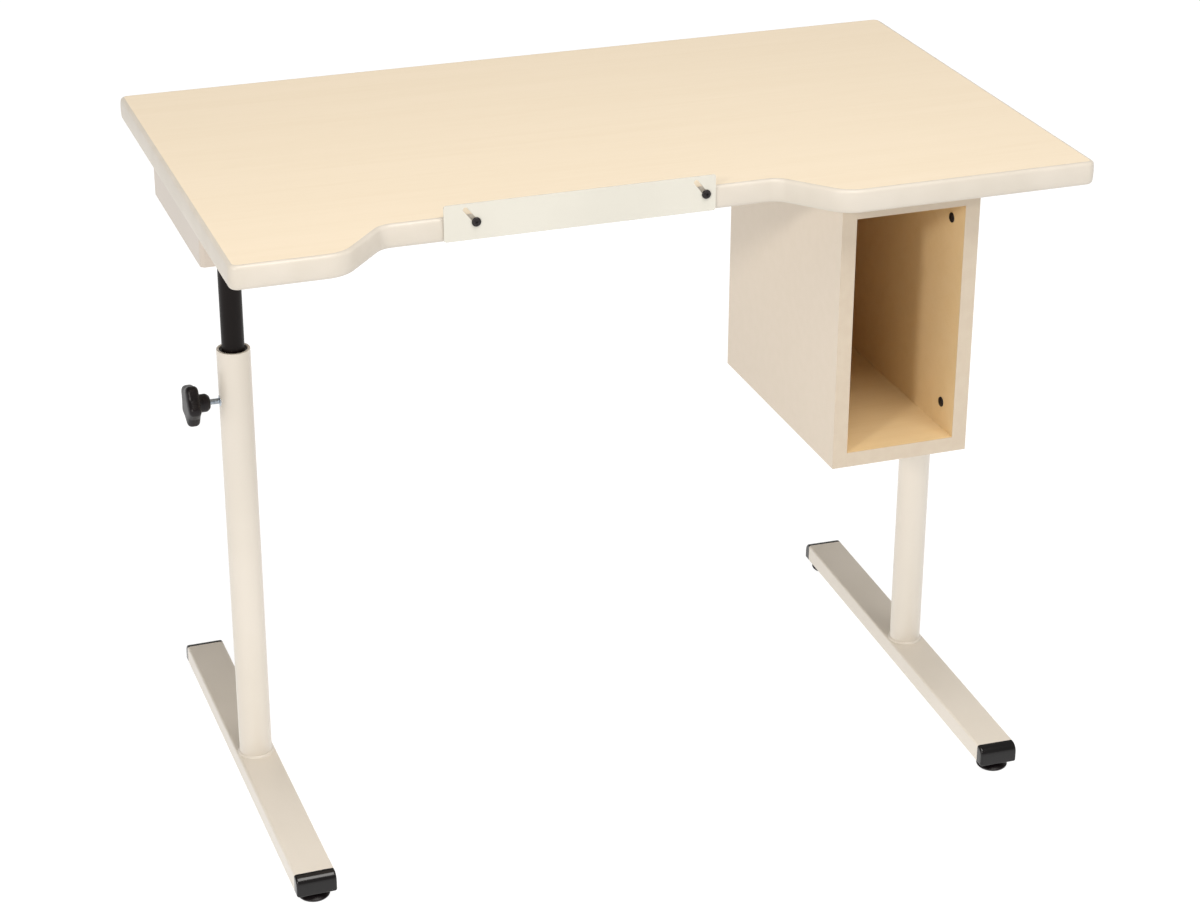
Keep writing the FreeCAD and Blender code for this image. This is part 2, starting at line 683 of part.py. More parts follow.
def makeUpperLeg(side, x):
    """Inner post, its guide, and the folded bracket with its screws."""
    outside = rod(side + "_inner_outside", "z", innerRadius, webBottom - innerBottom, 0, 0, innerBottom)
    bore = rod(side + "_inner_bore", "z", innerRadius - innerWall, webBottom - innerBottom, 0, 0, innerBottom)
    keep(cut(side + "_inner_tube", outside, [bore]), side + "_inner_post", x, postY, Size(0))

    cup = rod(side + "_guide_cup", "z", postBore - runClearance, guideLength + guideFloor, 0, 0,
              innerBottom - guideFloor)
    seat = rod(side + "_guide_seat", "z", innerRadius, guideLength, 0, 0, innerBottom)
    keep(cut(side + "_guide_bored", cup, [seat]), side + "_post_guide", x, postY, Size(0))

    tray = newBody(side + "_tray")
    sketch = newSketch(tray, side + "_tray_outline", "XY_Plane", underside - bracketHeight)
    roundedRectangle(sketch, Size(0), Size(0), bracketWidth, bracketLength, bracketCorner)
    pad(tray, sketch, side + "_tray_pad", bracketHeight)
    hollow = newBody(side + "_tray_hollow")
    inside = newSketch(hollow, side + "_hollow_outline", "XY_Plane", underside - bracketHeight)
    roundedRectangle(inside, Size(0), Size(0), bracketWidth - bracketWall * 2,
                     bracketLength - bracketWall * 2, insetRadius(bracketCorner, bracketWall))
    pad(hollow, inside, side + "_hollow_pad", bracketHeight - bracketWall)
    tools = [hollow]
    screws = []
    number = 0
    for across in (-1, 1):
        for along in (-1, 0, 1):
            sx = bracketScrewX * across
            sy = bracketScrewY * along
            tools.append(rod("%s_bracket_hole_%d" % (side, number), "z", woodScrewRadius + holeClearance,
                             bracketWall, sx, sy, webBottom))
            shank = rod("%s_wood_shank_%d" % (side, number), "z", woodScrewRadius, woodScrewLength, sx, sy,
                        webBottom)
            head = doc.addObject("Part::Cone", "%s_wood_head_%d" % (side, number))
            bind(head, "Radius1", woodHeadFace)
            bind(head, "Radius2", woodHeadRadius)
            bind(head, "Height", woodHeadHeight)
            bindPlace(head, sx, sy, webBottom - woodHeadHeight)
            screws.append(fuse("%s_wood_screw_%d" % (side, number), [shank, head]))
            number += 1
    keep(cut(side + "_bracket_folded", tray, tools), side + "_bracket", x, postY, Size(0))
    keep(group(side + "_wood_screws", screws), side + "_bracket_screws", x, postY, Size(0))


# Cubby

def dowelPlaces():
    """Height and depth of each dowel in the side panels."""
    bottomZ = cubbyBottom + panelThickness / 2
    topZ = underside - cubbyTopThickness / 2
    backY = cubbyBack - cubbyBackThickness / 2
    front = cubbyFront + dowelMargin
    rear = cubbyBack - cubbyBackThickness - dowelMargin
    middle = (front + rear) / 2
    places = [(y, z) for z in (bottomZ, topZ) for y in (front, middle, rear)]
    low = cubbyBottom + panelThickness + dowelMargin
    high = underside - cubbyTopThickness - dowelMargin
    places += [(backY, z) for z in (low, (low + high) / 2, high)]
    return places


def dowels(name):
    """All dowels, or the holes for them: the same rods, made anew for each use."""
    made = []
    for i, (y, z) in enumerate(dowelPlaces()):
        leftStart = cubbyLeft + panelThickness - dowelInSide
        rightStart = cubbyRight - panelThickness + dowelInSide - dowelLength
        made.append(rod("%s_left_%d" % (name, i), "x", dowelRadius, dowelLength, leftStart, y, z))
        made.append(rod("%s_right_%d" % (name, i), "x", dowelRadius, dowelLength, rightStart, y, z))
    return made


def makeCubby():
    inside = cubbyWidth - panelThickness * 2
    innerLeft = cubbyLeft + panelThickness
    shelfDepth = cubbyDepth - cubbyBackThickness
    sideScrewZ = [cubbyBottom + sideScrewMargin, underside - sideScrewMargin]
    sideScrewY = cubbyFront + sideScrewInset
    faceX = cubbyRight - panelThickness

    left = box("cubby_left", cubbyLeft, cubbyFront, cubbyBottom, panelThickness, cubbyDepth, cubbyHeight)
    keep(cut("cubby_left_drilled", left, dowels("left_side_hole")), "cubby_left_side")
    right = box("cubby_right", faceX, cubbyFront, cubbyBottom, panelThickness, cubbyDepth, cubbyHeight)
    pilots = [rod("side_pilot_%d" % i, "x", woodScrewRadius, sideScrewLength, faceX, sideScrewY, z)
              for i, z in enumerate(sideScrewZ)]
    keep(cut("cubby_right_drilled", right, dowels("right_side_hole") + pilots), "cubby_right_side")
    floor = box("cubby_floor", innerLeft, cubbyFront, cubbyBottom, inside, shelfDepth, panelThickness)
    keep(cut("cubby_floor_drilled", floor, dowels("floor_hole")), "cubby_bottom")
    roof = box("cubby_roof", innerLeft, cubbyFront, underside - cubbyTopThickness, inside, shelfDepth,
               cubbyTopThickness)
    through = [rod("roof_hole_%d" % i, "z", mountScrewRadius + holeClearance, cubbyTopThickness, x, y,
                   underside - cubbyTopThickness) for i, (x, y) in enumerate(mountScrewPlaces())]
    keep(cut("cubby_roof_drilled", roof, dowels("roof_hole_dowel") + through), "cubby_top")
    back = box("cubby_rear", innerLeft, cubbyBack - cubbyBackThickness, cubbyBottom, inside,
               cubbyBackThickness, cubbyHeight)
    keep(cut("cubby_rear_drilled", back, dowels("rear_hole")), "cubby_back")
    keep(group("cubby_dowel_group", dowels("dowel")), "cubby_dowels")

    hangers = []
    for i, (x, y) in enumerate(mountScrewPlaces()):
        headZ = underside - cubbyTopThickness
        shank = rod("hanger_shank_%d" % i, "z", mountScrewRadius,
                    cubbyTopThickness + sheetThickness + mountScrewGrip, x, y, headZ)
        head = rod("hanger_head_%d" % i, "z", mountHeadRadius, mountHeadHeight, x, y, headZ - mountHeadHeight)
        hangers.append(fuse("hanger_%d" % i, [shank, head]))
    keep(group("hanger_group", hangers), "cubby_hanging_screws")

    buttons = []
    for i, z in enumerate(sideScrewZ):
        shank = rod("side_shank_%d" % i, "x", woodScrewRadius, sideScrewLength, faceX, sideScrewY, z)
        head = rod("side_head_%d" % i, "x", sideHeadRadius, sideHeadHeight, faceX - sideHeadHeight,
                   sideScrewY, z)
        buttons.append(fuse("side_screw_%d" % i, [shank, head]))
    keep(group("side_screw_group", buttons), "cubby_side_screws")


# The whole table

makeTop()
makeLedge()
makeCubby()
legs = [("left", -(postSpacing / 2), leftYaw, 180), ("right", postSpacing / 2, rightYaw, 0)]
for side, x, yaw, outward in legs:
    makeUpperLeg(side, x)
    makeLowerLeg(side, x, yaw, yaw + outward)
    makeKnob(side, x, yaw + outward)
    makeFootEnd(side + "_front", x, yaw)
    makeFootEnd(side + "_rear", x, yaw + 180)
doc.recompute()

for thing in doc.Objects:
    if "Invalid" in thing.State or "Error" in thing.State:
        raise RuntimeError("%s failed: %s" % (thing.Name, thing.State))
os.makedirs("parts", exist_ok=True)
for thing in subParts:
    shape = thing.Shape
    if shape.isNull() or not shape.isValid():
        raise RuntimeError("%s has no valid shape" % thing.Label)
    shape.exportStep("parts/%s.step" % thing.Label)
    print("%-24s solids %2d  volume %10.0f mm3" % (thing.Label, len(shape.Solids), shape.Volume))
print(len(subParts), "sub-parts")
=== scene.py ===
import json
import math
import bmesh
import bpy
from mathutils import Matrix, Vector

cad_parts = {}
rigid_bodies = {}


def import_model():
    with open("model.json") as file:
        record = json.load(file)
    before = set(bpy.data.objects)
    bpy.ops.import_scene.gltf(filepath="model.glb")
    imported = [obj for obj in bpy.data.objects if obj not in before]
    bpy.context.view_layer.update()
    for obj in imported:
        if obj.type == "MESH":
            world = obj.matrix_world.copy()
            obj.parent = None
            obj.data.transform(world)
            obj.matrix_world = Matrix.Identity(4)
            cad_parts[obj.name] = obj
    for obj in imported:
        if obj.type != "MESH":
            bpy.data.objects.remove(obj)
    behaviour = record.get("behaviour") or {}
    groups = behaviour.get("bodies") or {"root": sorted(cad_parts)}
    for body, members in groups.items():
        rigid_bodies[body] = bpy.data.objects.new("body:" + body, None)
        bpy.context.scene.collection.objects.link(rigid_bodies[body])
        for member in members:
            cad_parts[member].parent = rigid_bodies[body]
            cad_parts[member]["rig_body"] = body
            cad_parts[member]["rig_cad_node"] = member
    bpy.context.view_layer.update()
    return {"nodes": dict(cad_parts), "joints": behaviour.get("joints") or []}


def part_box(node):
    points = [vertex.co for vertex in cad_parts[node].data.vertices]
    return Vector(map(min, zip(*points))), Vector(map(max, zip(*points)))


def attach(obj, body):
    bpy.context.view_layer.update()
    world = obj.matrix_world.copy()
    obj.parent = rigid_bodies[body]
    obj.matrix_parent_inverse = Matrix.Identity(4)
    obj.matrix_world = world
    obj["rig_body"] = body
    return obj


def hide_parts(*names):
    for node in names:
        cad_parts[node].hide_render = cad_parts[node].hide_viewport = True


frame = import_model()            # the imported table, already in place
nodes = frame["nodes"]
joints = {joint["name"]: joint for joint in frame["joints"]}

mm = 0.001
tiny = 0.01 * mm             # points closer than this are one point


# working by hand: selecting, editing and finishing

def deselect():
    if bpy.context.object and bpy.context.object.mode != "OBJECT":
        bpy.ops.object.mode_set(mode="OBJECT")
    bpy.ops.object.select_all(action="DESELECT")


def choose(piece):
    deselect()
    piece.select_set(True)
    bpy.context.view_layer.objects.active = piece


def edit(piece):
    choose(piece)
    bpy.ops.object.mode_set(mode="EDIT")
    bpy.ops.mesh.select_mode(type="FACE")
    bpy.ops.mesh.select_all(action="DESELECT")


def pick(kind, test):
    # selects the verts, edges or faces of the mesh in edit mode that pass the test, and nothing else
    bpy.ops.mesh.select_mode(type={"verts": "VERT", "edges": "EDGE", "faces": "FACE"}[kind])
    bpy.ops.mesh.select_all(action="DESELECT")
    mesh = bmesh.from_edit_mesh(bpy.context.edit_object.data)
    for item in getattr(mesh, kind):
        if test(item):
            item.select_set(True)
    mesh.select_flush_mode()
    bmesh.update_edit_mesh(bpy.context.edit_object.data)


def at(item, axis, place):
    # true for an edge or face that lies wholly in one plane across the axis
    return all(abs(vert.co["xyz".index(axis)] - place) < tiny for vert in item.verts)


def faces(item, x, y, z):
    return item.normal.dot(Vector((x, y, z))) > 0.99


def modify(piece, kind, **settings):
    choose(piece)
    modifier = piece.modifiers.new(kind.lower(), kind)
    for name, value in settings.items():
        setattr(modifier, name, value)
    bpy.ops.object.modifier_apply(modifier=modifier.name)


def soften(piece, width, segments, angle):
    modify(piece, "BEVEL", width=width, segments=segments, limit_method="ANGLE",
           angle_limit=math.radians(angle), use_clamp_overlap=True)


def carve(piece, *cutters):
    for cutter in cutters:
        modify(piece, "BOOLEAN", operation="DIFFERENCE", object=cutter, solver="EXACT")
        bpy.data.objects.remove(cutter)


def joined(first, *others):
    choose(first)
    for other in others:
        other.select_set(True)
    bpy.ops.object.join()
    return first


def copyAt(piece, place, turn):
    # a turned and moved copy with a mesh of its own
    choose(piece)
    bpy.ops.object.duplicate()
    twin = bpy.context.object
    twin.rotation_euler = turn
    twin.location = place
    bpy.ops.object.transform_apply(location=True, rotation=True, scale=True)
    return twin


def finish(piece, name, body, slotName, skin, *replaced):
    choose(piece)
    bpy.ops.object.transform_apply(location=True, rotation=True, scale=True)
    bpy.ops.object.shade_smooth_by_angle(angle=math.radians(35))
    modify(piece, "WEIGHTED_NORMAL", keep_sharp=True)
    piece.name = name
    piece.data.name = name
    piece.data.materials.clear()
    piece.data.materials.append(skin)
    if replaced:
        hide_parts(*replaced)
    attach(piece, body)


def block(low, high):
    # a cube between two corners, before it is shaped
    low = Vector(low)
    high = Vector(high)
    deselect()
    bpy.ops.mesh.primitive_cube_add(size=1, location=(low + high) / 2)
    piece = bpy.context.object
    piece.scale = high - low
    bpy.ops.object.transform_apply(location=True, rotation=True, scale=True)
    return piece


def rod(radius, low, high, flats, axis="z"):
    # a cylinder along one axis between two points, used as a cutter
    low = Vector(low)
    high = Vector(high)
    turn = {"x": (0, math.pi / 2, 0), "y": (-math.pi / 2, 0, 0), "z": (0, 0, 0)}[axis]
    deselect()
    bpy.ops.mesh.primitive_cylinder_add(vertices=flats, radius=radius, depth=(high - low).length,
                                        location=(low + high) / 2, rotation=turn)
    bpy.ops.object.transform_apply(location=True, rotation=True, scale=True)
    return bpy.context.object


facet = 0.8 * mm             # about the length of one flat on a rounded corner


def wire(points, start=(0, 0, 0), across=(1, 0, 0), closed=True):
    # extrudes one vertex through the points (across, up), and rounds each corner that has a third number
    start = Vector(start)
    across = Vector(across)
    deselect()
    bpy.ops.mesh.primitive_plane_add(size=mm)
    piece = bpy.context.object
    bpy.ops.object.mode_set(mode="EDIT")
    bpy.ops.mesh.select_mode(type="VERT")
    bpy.ops.mesh.select_all(action="SELECT")
    bpy.ops.mesh.merge(type="CENTER")
    places = [start + across * point[0] + Vector((0, 0, point[1])) for point in points]
    bpy.ops.transform.translate(value=places[0])
    ends = places[1:] + places[:1] if closed else places[1:]
    for here, there in zip(places, ends):
        bpy.ops.mesh.extrude_region_move(TRANSFORM_OT_translate={"value": there - here})
    bpy.ops.mesh.select_all(action="SELECT")
    bpy.ops.mesh.remove_doubles(threshold=tiny)
    for place, point in zip(places, points):
        if len(point) > 2:
            flats = max(2, round(point[2] / facet))
            pick("verts", lambda vert: (vert.co - place).length < tiny)
            bpy.ops.mesh.bevel(offset=point[2], segments=flats, affect="VERTICES")
    bpy.ops.mesh.select_mode(type="EDGE")
    bpy.ops.mesh.select_all(action="SELECT")
    return piece


def closeUp():
    # joins the ends of what was spun or swept, and turns its faces outwards
    bpy.ops.mesh.select_all(action="SELECT")
    bpy.ops.mesh.remove_doubles(threshold=tiny)
    bpy.ops.mesh.normals_make_consistent(inside=False)
    bpy.ops.object.mode_set(mode="OBJECT")


def turned(points, steps, closed=True):
    # lathe work: the wire spun once round the Z axis
    piece = wire(points, closed=closed)
    bpy.ops.mesh.spin(steps=steps, angle=2 * math.pi, center=(0, 0, 0), axis=(0, 0, 1))
    closeUp()
    return piece


def swept(corners, profile, closed=True, arcStep=6):
    # takes a profile once round an outline of arcs, each a centre, a radius and a turn (+1 left, -1 right),
    # and the tangent runs between them
    ahead = corners[1:] + corners[:1]
    runs = []
    for (centre, radius, turn), (nextCentre, nextRadius, nextTurn) in zip(corners, ahead):
        gap = nextCentre - centre
        heading = math.atan2(gap.y, gap.x) - math.asin((nextTurn * nextRadius - turn * radius) / gap.length)
        inward = Vector((-math.sin(heading), math.cos(heading), 0))
        start = centre - inward * turn * radius
        end = nextCentre - inward * nextTurn * nextRadius
        runs.append((start, end, heading, inward))
    piece = wire(profile, runs[0][0], runs[0][3], closed)
    for run, corner, following in zip(runs, ahead, runs[1:] + runs[:1]):
        start, end, heading, inward = run
        centre, radius, turn = corner
        bpy.ops.mesh.extrude_region_move(TRANSFORM_OT_translate={"value": end - start})
        angle = (following[2] - heading) * turn % (2 * math.pi)
        steps = max(2, math.ceil(math.degrees(angle) / arcStep))
        bpy.ops.mesh.spin(steps=steps, angle=-turn * angle, center=centre, axis=(0, 0, 1))
    closeUp()
    return piece


def threaded(radius, depth, pitch, length, tip=0, steps=16):
    # a thread along +Z from the origin: one tooth carried up a helix, then cut off square
    root = radius - depth
    middle = -pitch / 2
    foot = 0.35 * pitch          # half the tooth's width at its root
    crest = 0.05 * pitch         # and at its crest
    piece = wire([(root, -pitch), (root, middle - foot), (radius, middle - crest), (radius, middle + crest),
                  (root, middle + foot), (root, 0)], closed=False)
    turns = math.ceil((length - tip) / pitch) + 2
    modify(piece, "SCREW", axis="Z", angle=2 * math.pi, screw_offset=pitch, iterations=turns, steps=steps,
           render_steps=steps)
    edit(piece)
    bpy.ops.mesh.select_all(action="SELECT")
    bpy.ops.mesh.remove_doubles(threshold=tiny)
    bpy.ops.mesh.bisect(plane_co=(0, 0, 0), plane_no=(0, 0, 1), use_fill=True, clear_inner=True)
    bpy.ops.mesh.select_all(action="SELECT")
    bpy.ops.mesh.bisect(plane_co=(0, 0, length - tip), plane_no=(0, 0, 1), use_fill=True, clear_outer=True)
    if tip:
        bpy.ops.mesh.extrude_region_move(TRANSFORM_OT_translate={"value": (0, 0, tip)})
        bpy.ops.mesh.merge(type="CENTER")
    closeUp()
    return piece


# materials: each is named for what the real one is, except the two darker copies that carry painted shade

def toLinear(hexColour):
    channels = [int(hexColour[i:i + 2], 16) / 255 for i in (1, 3, 5)]
    return [c / 12.92 if c <= 0.04045 else ((c + 0.055) / 1.055) ** 2.4 for c in channels] + [1.0]


def addNode(tree, kind, settings=None, links=None):
    # adds a node, sets its sockets and properties, and links its inputs
    node = tree.nodes.new(kind)
    for name, value in (settings or {}).items():
        if name == "stops":
            while len(node.color_ramp.elements) < len(value):
                node.color_ramp.elements.new(0.5)
            for element, (place, colour) in zip(node.color_ramp.elements, value):
                element.position = place
                element.color = toLinear(colour)
        elif isinstance(name, int) or name in node.inputs:
            node.inputs[name].default_value = value
        else:
            setattr(node, name, value)
    for name, source in (links or {}).items():
        tree.links.new(source, node.inputs[name])
    return node


def newMaterial(name, values):
    skin = bpy.data.materials.new(name)
    skin.use_nodes = True
    tree = skin.node_tree
    for socket, value in values.items():
        tree.nodes["Principled BSDF"].inputs[socket].default_value = value
    return skin, tree, addNode(tree, "ShaderNodeTexCoord").outputs["Object"]


def dress(tree, tint, gloss=None, bump=None):
    # links the finished colour, roughness and relief to the shader
    shader = tree.nodes["Principled BSDF"]
    tree.links.new(tint.outputs["Color"], shader.inputs["Base Color"])
    if gloss:
        tree.links.new(gloss.outputs["Result"], shader.inputs["Roughness"])
    if bump:
        tree.links.new(bump.outputs["Normal"], shader.inputs["Normal"])


def printedMaple(name, pale, middle, dark, roughness):
    # melamine-faced paper printed as maple: long faint fibres, almost no figure, a satin plastic gloss
    fibreWidth = 1.6 * mm        # real fibres are finer, drawn this coarse so that they show
    figureWidth = 22 * mm
    lengthwise = 26              # fibres run this many times longer than they are wide
    stippleSize = 1.1 * mm
    skin, tree, place = newMaterial(name, {"Roughness": roughness, "IOR": 1.5})
    fibreMap = addNode(tree, "ShaderNodeMapping", {"Scale": (1 / lengthwise, 1, 1)}, {"Vector": place})
    figure = addNode(tree, "ShaderNodeTexNoise", {"Scale": 1 / figureWidth, "Detail": 3, "Distortion": 0.8},
                     {"Vector": fibreMap.outputs["Vector"]})
    fibre = addNode(tree, "ShaderNodeTexNoise", {"Scale": 1 / fibreWidth, "Detail": 4, "Roughness": 0.6},
                    {"Vector": fibreMap.outputs["Vector"]})
    both = addNode(tree, "ShaderNodeMix", {"data_type": "FLOAT", "Factor": 0.5},
                   {2: figure.outputs["Fac"], 3: fibre.outputs["Fac"]})
    tint = addNode(tree, "ShaderNodeValToRGB", {"stops": [(0.3, dark), (0.5, middle), (0.7, pale)]},
                   {"Fac": both.outputs["Result"]})
    stipple = addNode(tree, "ShaderNodeTexNoise", {"Scale": 1 / stippleSize, "Detail": 2}, {"Vector": place})
    bump = addNode(tree, "ShaderNodeBump", {"Strength": 0.25, "Distance": 0.02 * mm},
                   {"Height": stipple.outputs["Fac"]})
    dress(tree, tint, None, bump)
    return skin


def powderCoat(name, colour, shade, roughness, ior=1.5, coat=0.2):
    # baked polyester powder on steel: even colour, with the low ripple called orange peel in its gloss
    peel = 2.2 * mm              # width of one ripple
    depth = 0.03 * mm
    patch = 120 * mm             # slow drift of the colour and the gloss
    skin, tree, place = newMaterial(name, {"IOR": ior, "Coat Weight": coat, "Coat Roughness": 0.2})
    ripple = addNode(tree, "ShaderNodeTexNoise", {"Scale": 1 / peel, "Detail": 1}, {"Vector": place})
    drift = addNode(tree, "ShaderNodeTexNoise", {"Scale": 1 / patch, "Detail": 2}, {"Vector": place})
    tint = addNode(tree, "ShaderNodeValToRGB", {"stops": [(0.3, shade), (0.6, colour)]},
                   {"Fac": drift.outputs["Fac"]})
    gloss = addNode(tree, "ShaderNodeMapRange", {"To Min": roughness - 0.04, "To Max": roughness + 0.06},
                    {"Value": drift.outputs["Fac"]})
    bump = addNode(tree, "ShaderNodeBump", {"Strength": 0.3, "Distance": depth},
                   {"Height": ripple.outputs["Fac"]})
    dress(tree, tint, gloss, bump)
    return skin


def mouldedPlastic(name, colour, shade, roughness, grain, depth, ior=1.49):
    # injection-moulded plastic: flat colour, a fine even grain from the mould and a soft edge to its gloss
    swirl = 14 * mm              # slow marks of how it flowed
    skin, tree, place = newMaterial(name, {"IOR": ior})
    pits = addNode(tree, "ShaderNodeTexNoise", {"Scale": 1 / grain, "Detail": 3}, {"Vector": place})
    flow = addNode(tree, "ShaderNodeTexNoise", {"Scale": 1 / swirl, "Detail": 2}, {"Vector": place})
    tint = addNode(tree, "ShaderNodeValToRGB", {"stops": [(0.35, shade), (0.65, colour)]},
                   {"Fac": flow.outputs["Fac"]})
    gloss = addNode(tree, "ShaderNodeMapRange", {"To Min": roughness - 0.05, "To Max": roughness + 0.05},
                    {"Value": flow.outputs["Fac"]})
    bump = addNode(tree, "ShaderNodeBump", {"Strength": 0.4, "Distance": depth},
                   {"Height": pits.outputs["Fac"]})
    dress(tree, tint, gloss, bump)
    return skin


def particleboard():
    # pressed wood chips: a speckle of pale and brown flakes a few millimetres long, quite matt
    chip = 3 * mm
    skin, tree, place = newMaterial("particleboard", {"Roughness": 0.85, "IOR": 1.5})
    chips = addNode(tree, "ShaderNodeTexVoronoi", {"Scale": 1 / chip, "Randomness": 1.0}, {"Vector": place})
    tint = addNode(tree, "ShaderNodeValToRGB",
                   {"stops": [(0.0, "#8a6a45"), (0.4, "#c3a179"), (0.8, "#dcc39c")]},
                   {"Fac": chips.outputs["Color"]})
    bump = addNode(tree, "ShaderNodeBump", {"Strength": 0.5, "Distance": 0.2 * mm},
                   {"Height": chips.outputs["Distance"]})
    dress(tree, tint, None, bump)
    return skin


def beech():
    # turned beech dowel: straight grain with short dark flecks
    fleckWidth = 0.8 * mm
    drawnOut = 0.12              # flecks run about eight times longer than they are wide
    skin, tree, place = newMaterial("beechDowel", {"Roughness": 0.6, "IOR": 1.5})
    along = addNode(tree, "ShaderNodeMapping", {"Scale": (drawnOut, 1, 1)}, {"Vector": place})
    flecks = addNode(tree, "ShaderNodeTexNoise", {"Scale": 1 / fleckWidth, "Detail": 2},
                     {"Vector": along.outputs["Vector"]})
    tint = addNode(tree, "ShaderNodeValToRGB", {"stops": [(0.35, "#a97b4f"), (0.6, "#d5ad7d")]},
                   {"Fac": flecks.outputs["Fac"]})
    dress(tree, tint)
    return skin


def zincPlate():
    # bright zinc on machined steel: a bluish grey metal with faint cloudy passivation
    bloom = 5 * mm
    skin, tree, place = newMaterial("zincPlatedSteel", {"Metallic": 1.0})
    cloud = addNode(tree, "ShaderNodeTexNoise", {"Scale": 1 / bloom, "Detail": 3}, {"Vector": place})
    tint = addNode(tree, "ShaderNodeValToRGB", {"stops": [(0.35, "#aab4bd"), (0.65, "#d4dae0")]},
                   {"Fac": cloud.outputs["Fac"]})
    gloss = addNode(tree, "ShaderNodeMapRange", {"To Min": 0.2, "To Max": 0.42},
                    {"Value": cloud.outputs["Fac"]})
    dress(tree, tint, gloss)
    return skin


def blackOxide():
    # black oxide on steel screws: a thin dark film, still a little metallic where it is handled
    blotch = 2.5 * mm
    skin, tree, place = newMaterial("blackOxideSteel", {"Metallic": 0.6})
    film = addNode(tree, "ShaderNodeTexNoise", {"Scale": 1 / blotch, "Detail": 3}, {"Vector": place})
    tint = addNode(tree, "ShaderNodeValToRGB", {"stops": [(0.4, "#1c191a"), (0.7, "#3a3537")]},
                   {"Fac": film.outputs["Fac"]})
    gloss = addNode(tree, "ShaderNodeMapRange", {"To Min": 0.3, "To Max": 0.5},
                    {"Value": film.outputs["Fac"]})
    dress(tree, tint, gloss)
    return skin


def extrudedVinyl():
    # extruded PVC edging: off-white, satin, with faint die lines along its length
    dieLine = 1.3 * mm           # real ones are finer, drawn this coarse so that they show
    drawnOut = 0.02              # they run fifty times longer than they are wide
    patch = 60 * mm              # slow drift of the colour
    skin, tree, place = newMaterial("extrudedVinyl", {"IOR": 1.53})
    lines = addNode(tree, "ShaderNodeMapping", {"Scale": (drawnOut, drawnOut, 1)}, {"Vector": place})
    drawn = addNode(tree, "ShaderNodeTexNoise", {"Scale": 1 / dieLine, "Detail": 2},
                    {"Vector": lines.outputs["Vector"]})
    cloud = addNode(tree, "ShaderNodeTexNoise", {"Scale": 1 / patch, "Detail": 2}, {"Vector": place})
    tint = addNode(tree, "ShaderNodeValToRGB", {"stops": [(0.3, "#cac2b5"), (0.65, "#d0c8bc")]},
                   {"Fac": cloud.outputs["Fac"]})
    gloss = addNode(tree, "ShaderNodeMapRange", {"To Min": 0.34, "To Max": 0.46},
                    {"Value": drawn.outputs["Fac"]})
    bump = addNode(tree, "ShaderNodeBump", {"Strength": 0.3, "Distance": 0.02 * mm},
                   {"Height": drawn.outputs["Fac"]})
    dress(tree, tint, gloss, bump)
    return skin


# black nylon and black enamel have a low IOR, because the real ones hardly shine; the brown melamine on the
# cubby's back is painted shade, and the taupe enamel on the brackets is the almond powder coat darkened as
# painted shade
mapleLaminate = printedMaple("mapleLaminate", "#eedec5", "#ecdcc2", "#ead9be", 0.42)
mapleMelamine = printedMaple("mapleMelamine", "#e6cca0", "#e4c99b", "#e0c493", 0.45)
# the back board's lining: the maple melamine darkened to brown, as painted shade deep inside the cubby
brownMelamine = printedMaple("brownMelamine", "#a06c2c", "#996526", "#8f5b1e", 0.5)
backerSheet = mouldedPlastic("backerSheet", "#c9c0b2", "#c3baab", 0.6, 1.5 * mm, 0.03 * mm)
almondMelamine = mouldedPlastic("almondMelamine", "#d5c8b7", "#d3c6b4", 0.42, 1.2 * mm, 0.02 * mm)
almondTape = mouldedPlastic("almondEdgeTape", "#cabca8", "#c7b8a4", 0.4, 1.2 * mm, 0.02 * mm)
almondEnamel = powderCoat("almondPowderCoat", "#dfd7cb", "#dbd3c6", 0.38)
# the almond powder coat darkened for the brackets: painted shade, not another colour of paint
paintedShadeEnamel = powderCoat("taupePowderCoat", "#c9beb2", "#c5baad", 0.42)
whiteEnamel = powderCoat("offWhitePowderCoat", "#d2cfc4", "#cecbc0", 0.38)
blackEnamel = powderCoat("blackPowderCoat", "#120b09", "#0f0908", 0.42, 1.26, 0)
blackNylon = mouldedPlastic("blackNylon", "#171113", "#120d0f", 0.38, 0.9 * mm, 0.05 * mm, 1.34)
capPlastic = mouldedPlastic("blackPolyethylene", "#0b0809", "#080606", 0.18, 2.5 * mm, 0.02 * mm, 1.46)
rawBoard = particleboard()
beechWood = beech()
zinc = zincPlate()
blackSteel = blackOxide()
edgeVinyl = extrudedVinyl()
print("materials made")


def clad(skin, *names):
    for name in names:
        for holder in nodes[name].material_slots:
            holder.material = skin


clad(mapleLaminate, "top_laminate")
clad(rawBoard, "top_core")
clad(backerSheet, "top_backer")
clad(beechWood, "cubby_dowels")
clad(blackNylon, "left_post_guide", "right_post_guide")

# places that the pieces share, read from the frame
topLow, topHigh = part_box("edge_band")
surface = topHigh.z
underside = topLow.z
footLow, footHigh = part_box("left_foot_tube")
sides = {}
for side in ("left", "right"):
    knobJoint = joints[side + "_knob_turn"]
    postLow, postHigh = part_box(side + "_outer_post")
    outward = Vector(knobJoint["axis"])
    knobTurn = math.atan2(outward.y, outward.x)
    sides[side] = {
        "post": Vector(((postLow.x + postHigh.x) / 2, (postLow.y + postHigh.y) / 2, 0)),
        "radius": (postHigh.x - postLow.x) / 2,
        "knobTurn": knobTurn,
        "yaw": knobTurn - (math.pi if side == "left" else 0),
        "knobHeight": knobJoint["pos_m"][2],
    }


# the vinyl edging, carried round the board's outline

edging = {
    "thickness": 6 * mm, "crown": 1.5 * mm, "crownRun": 8 * mm, "rounding": 4.2 * mm, "cornerRadius": 12 * mm,
    "recessCentre": -97.5 * mm, "recessMouth": 647 * mm, "recessDepth": 69.5 * mm,
    "swingRun": 93 * mm, "swingOuter": 46 * mm, "swingInner": 25 * mm,
}


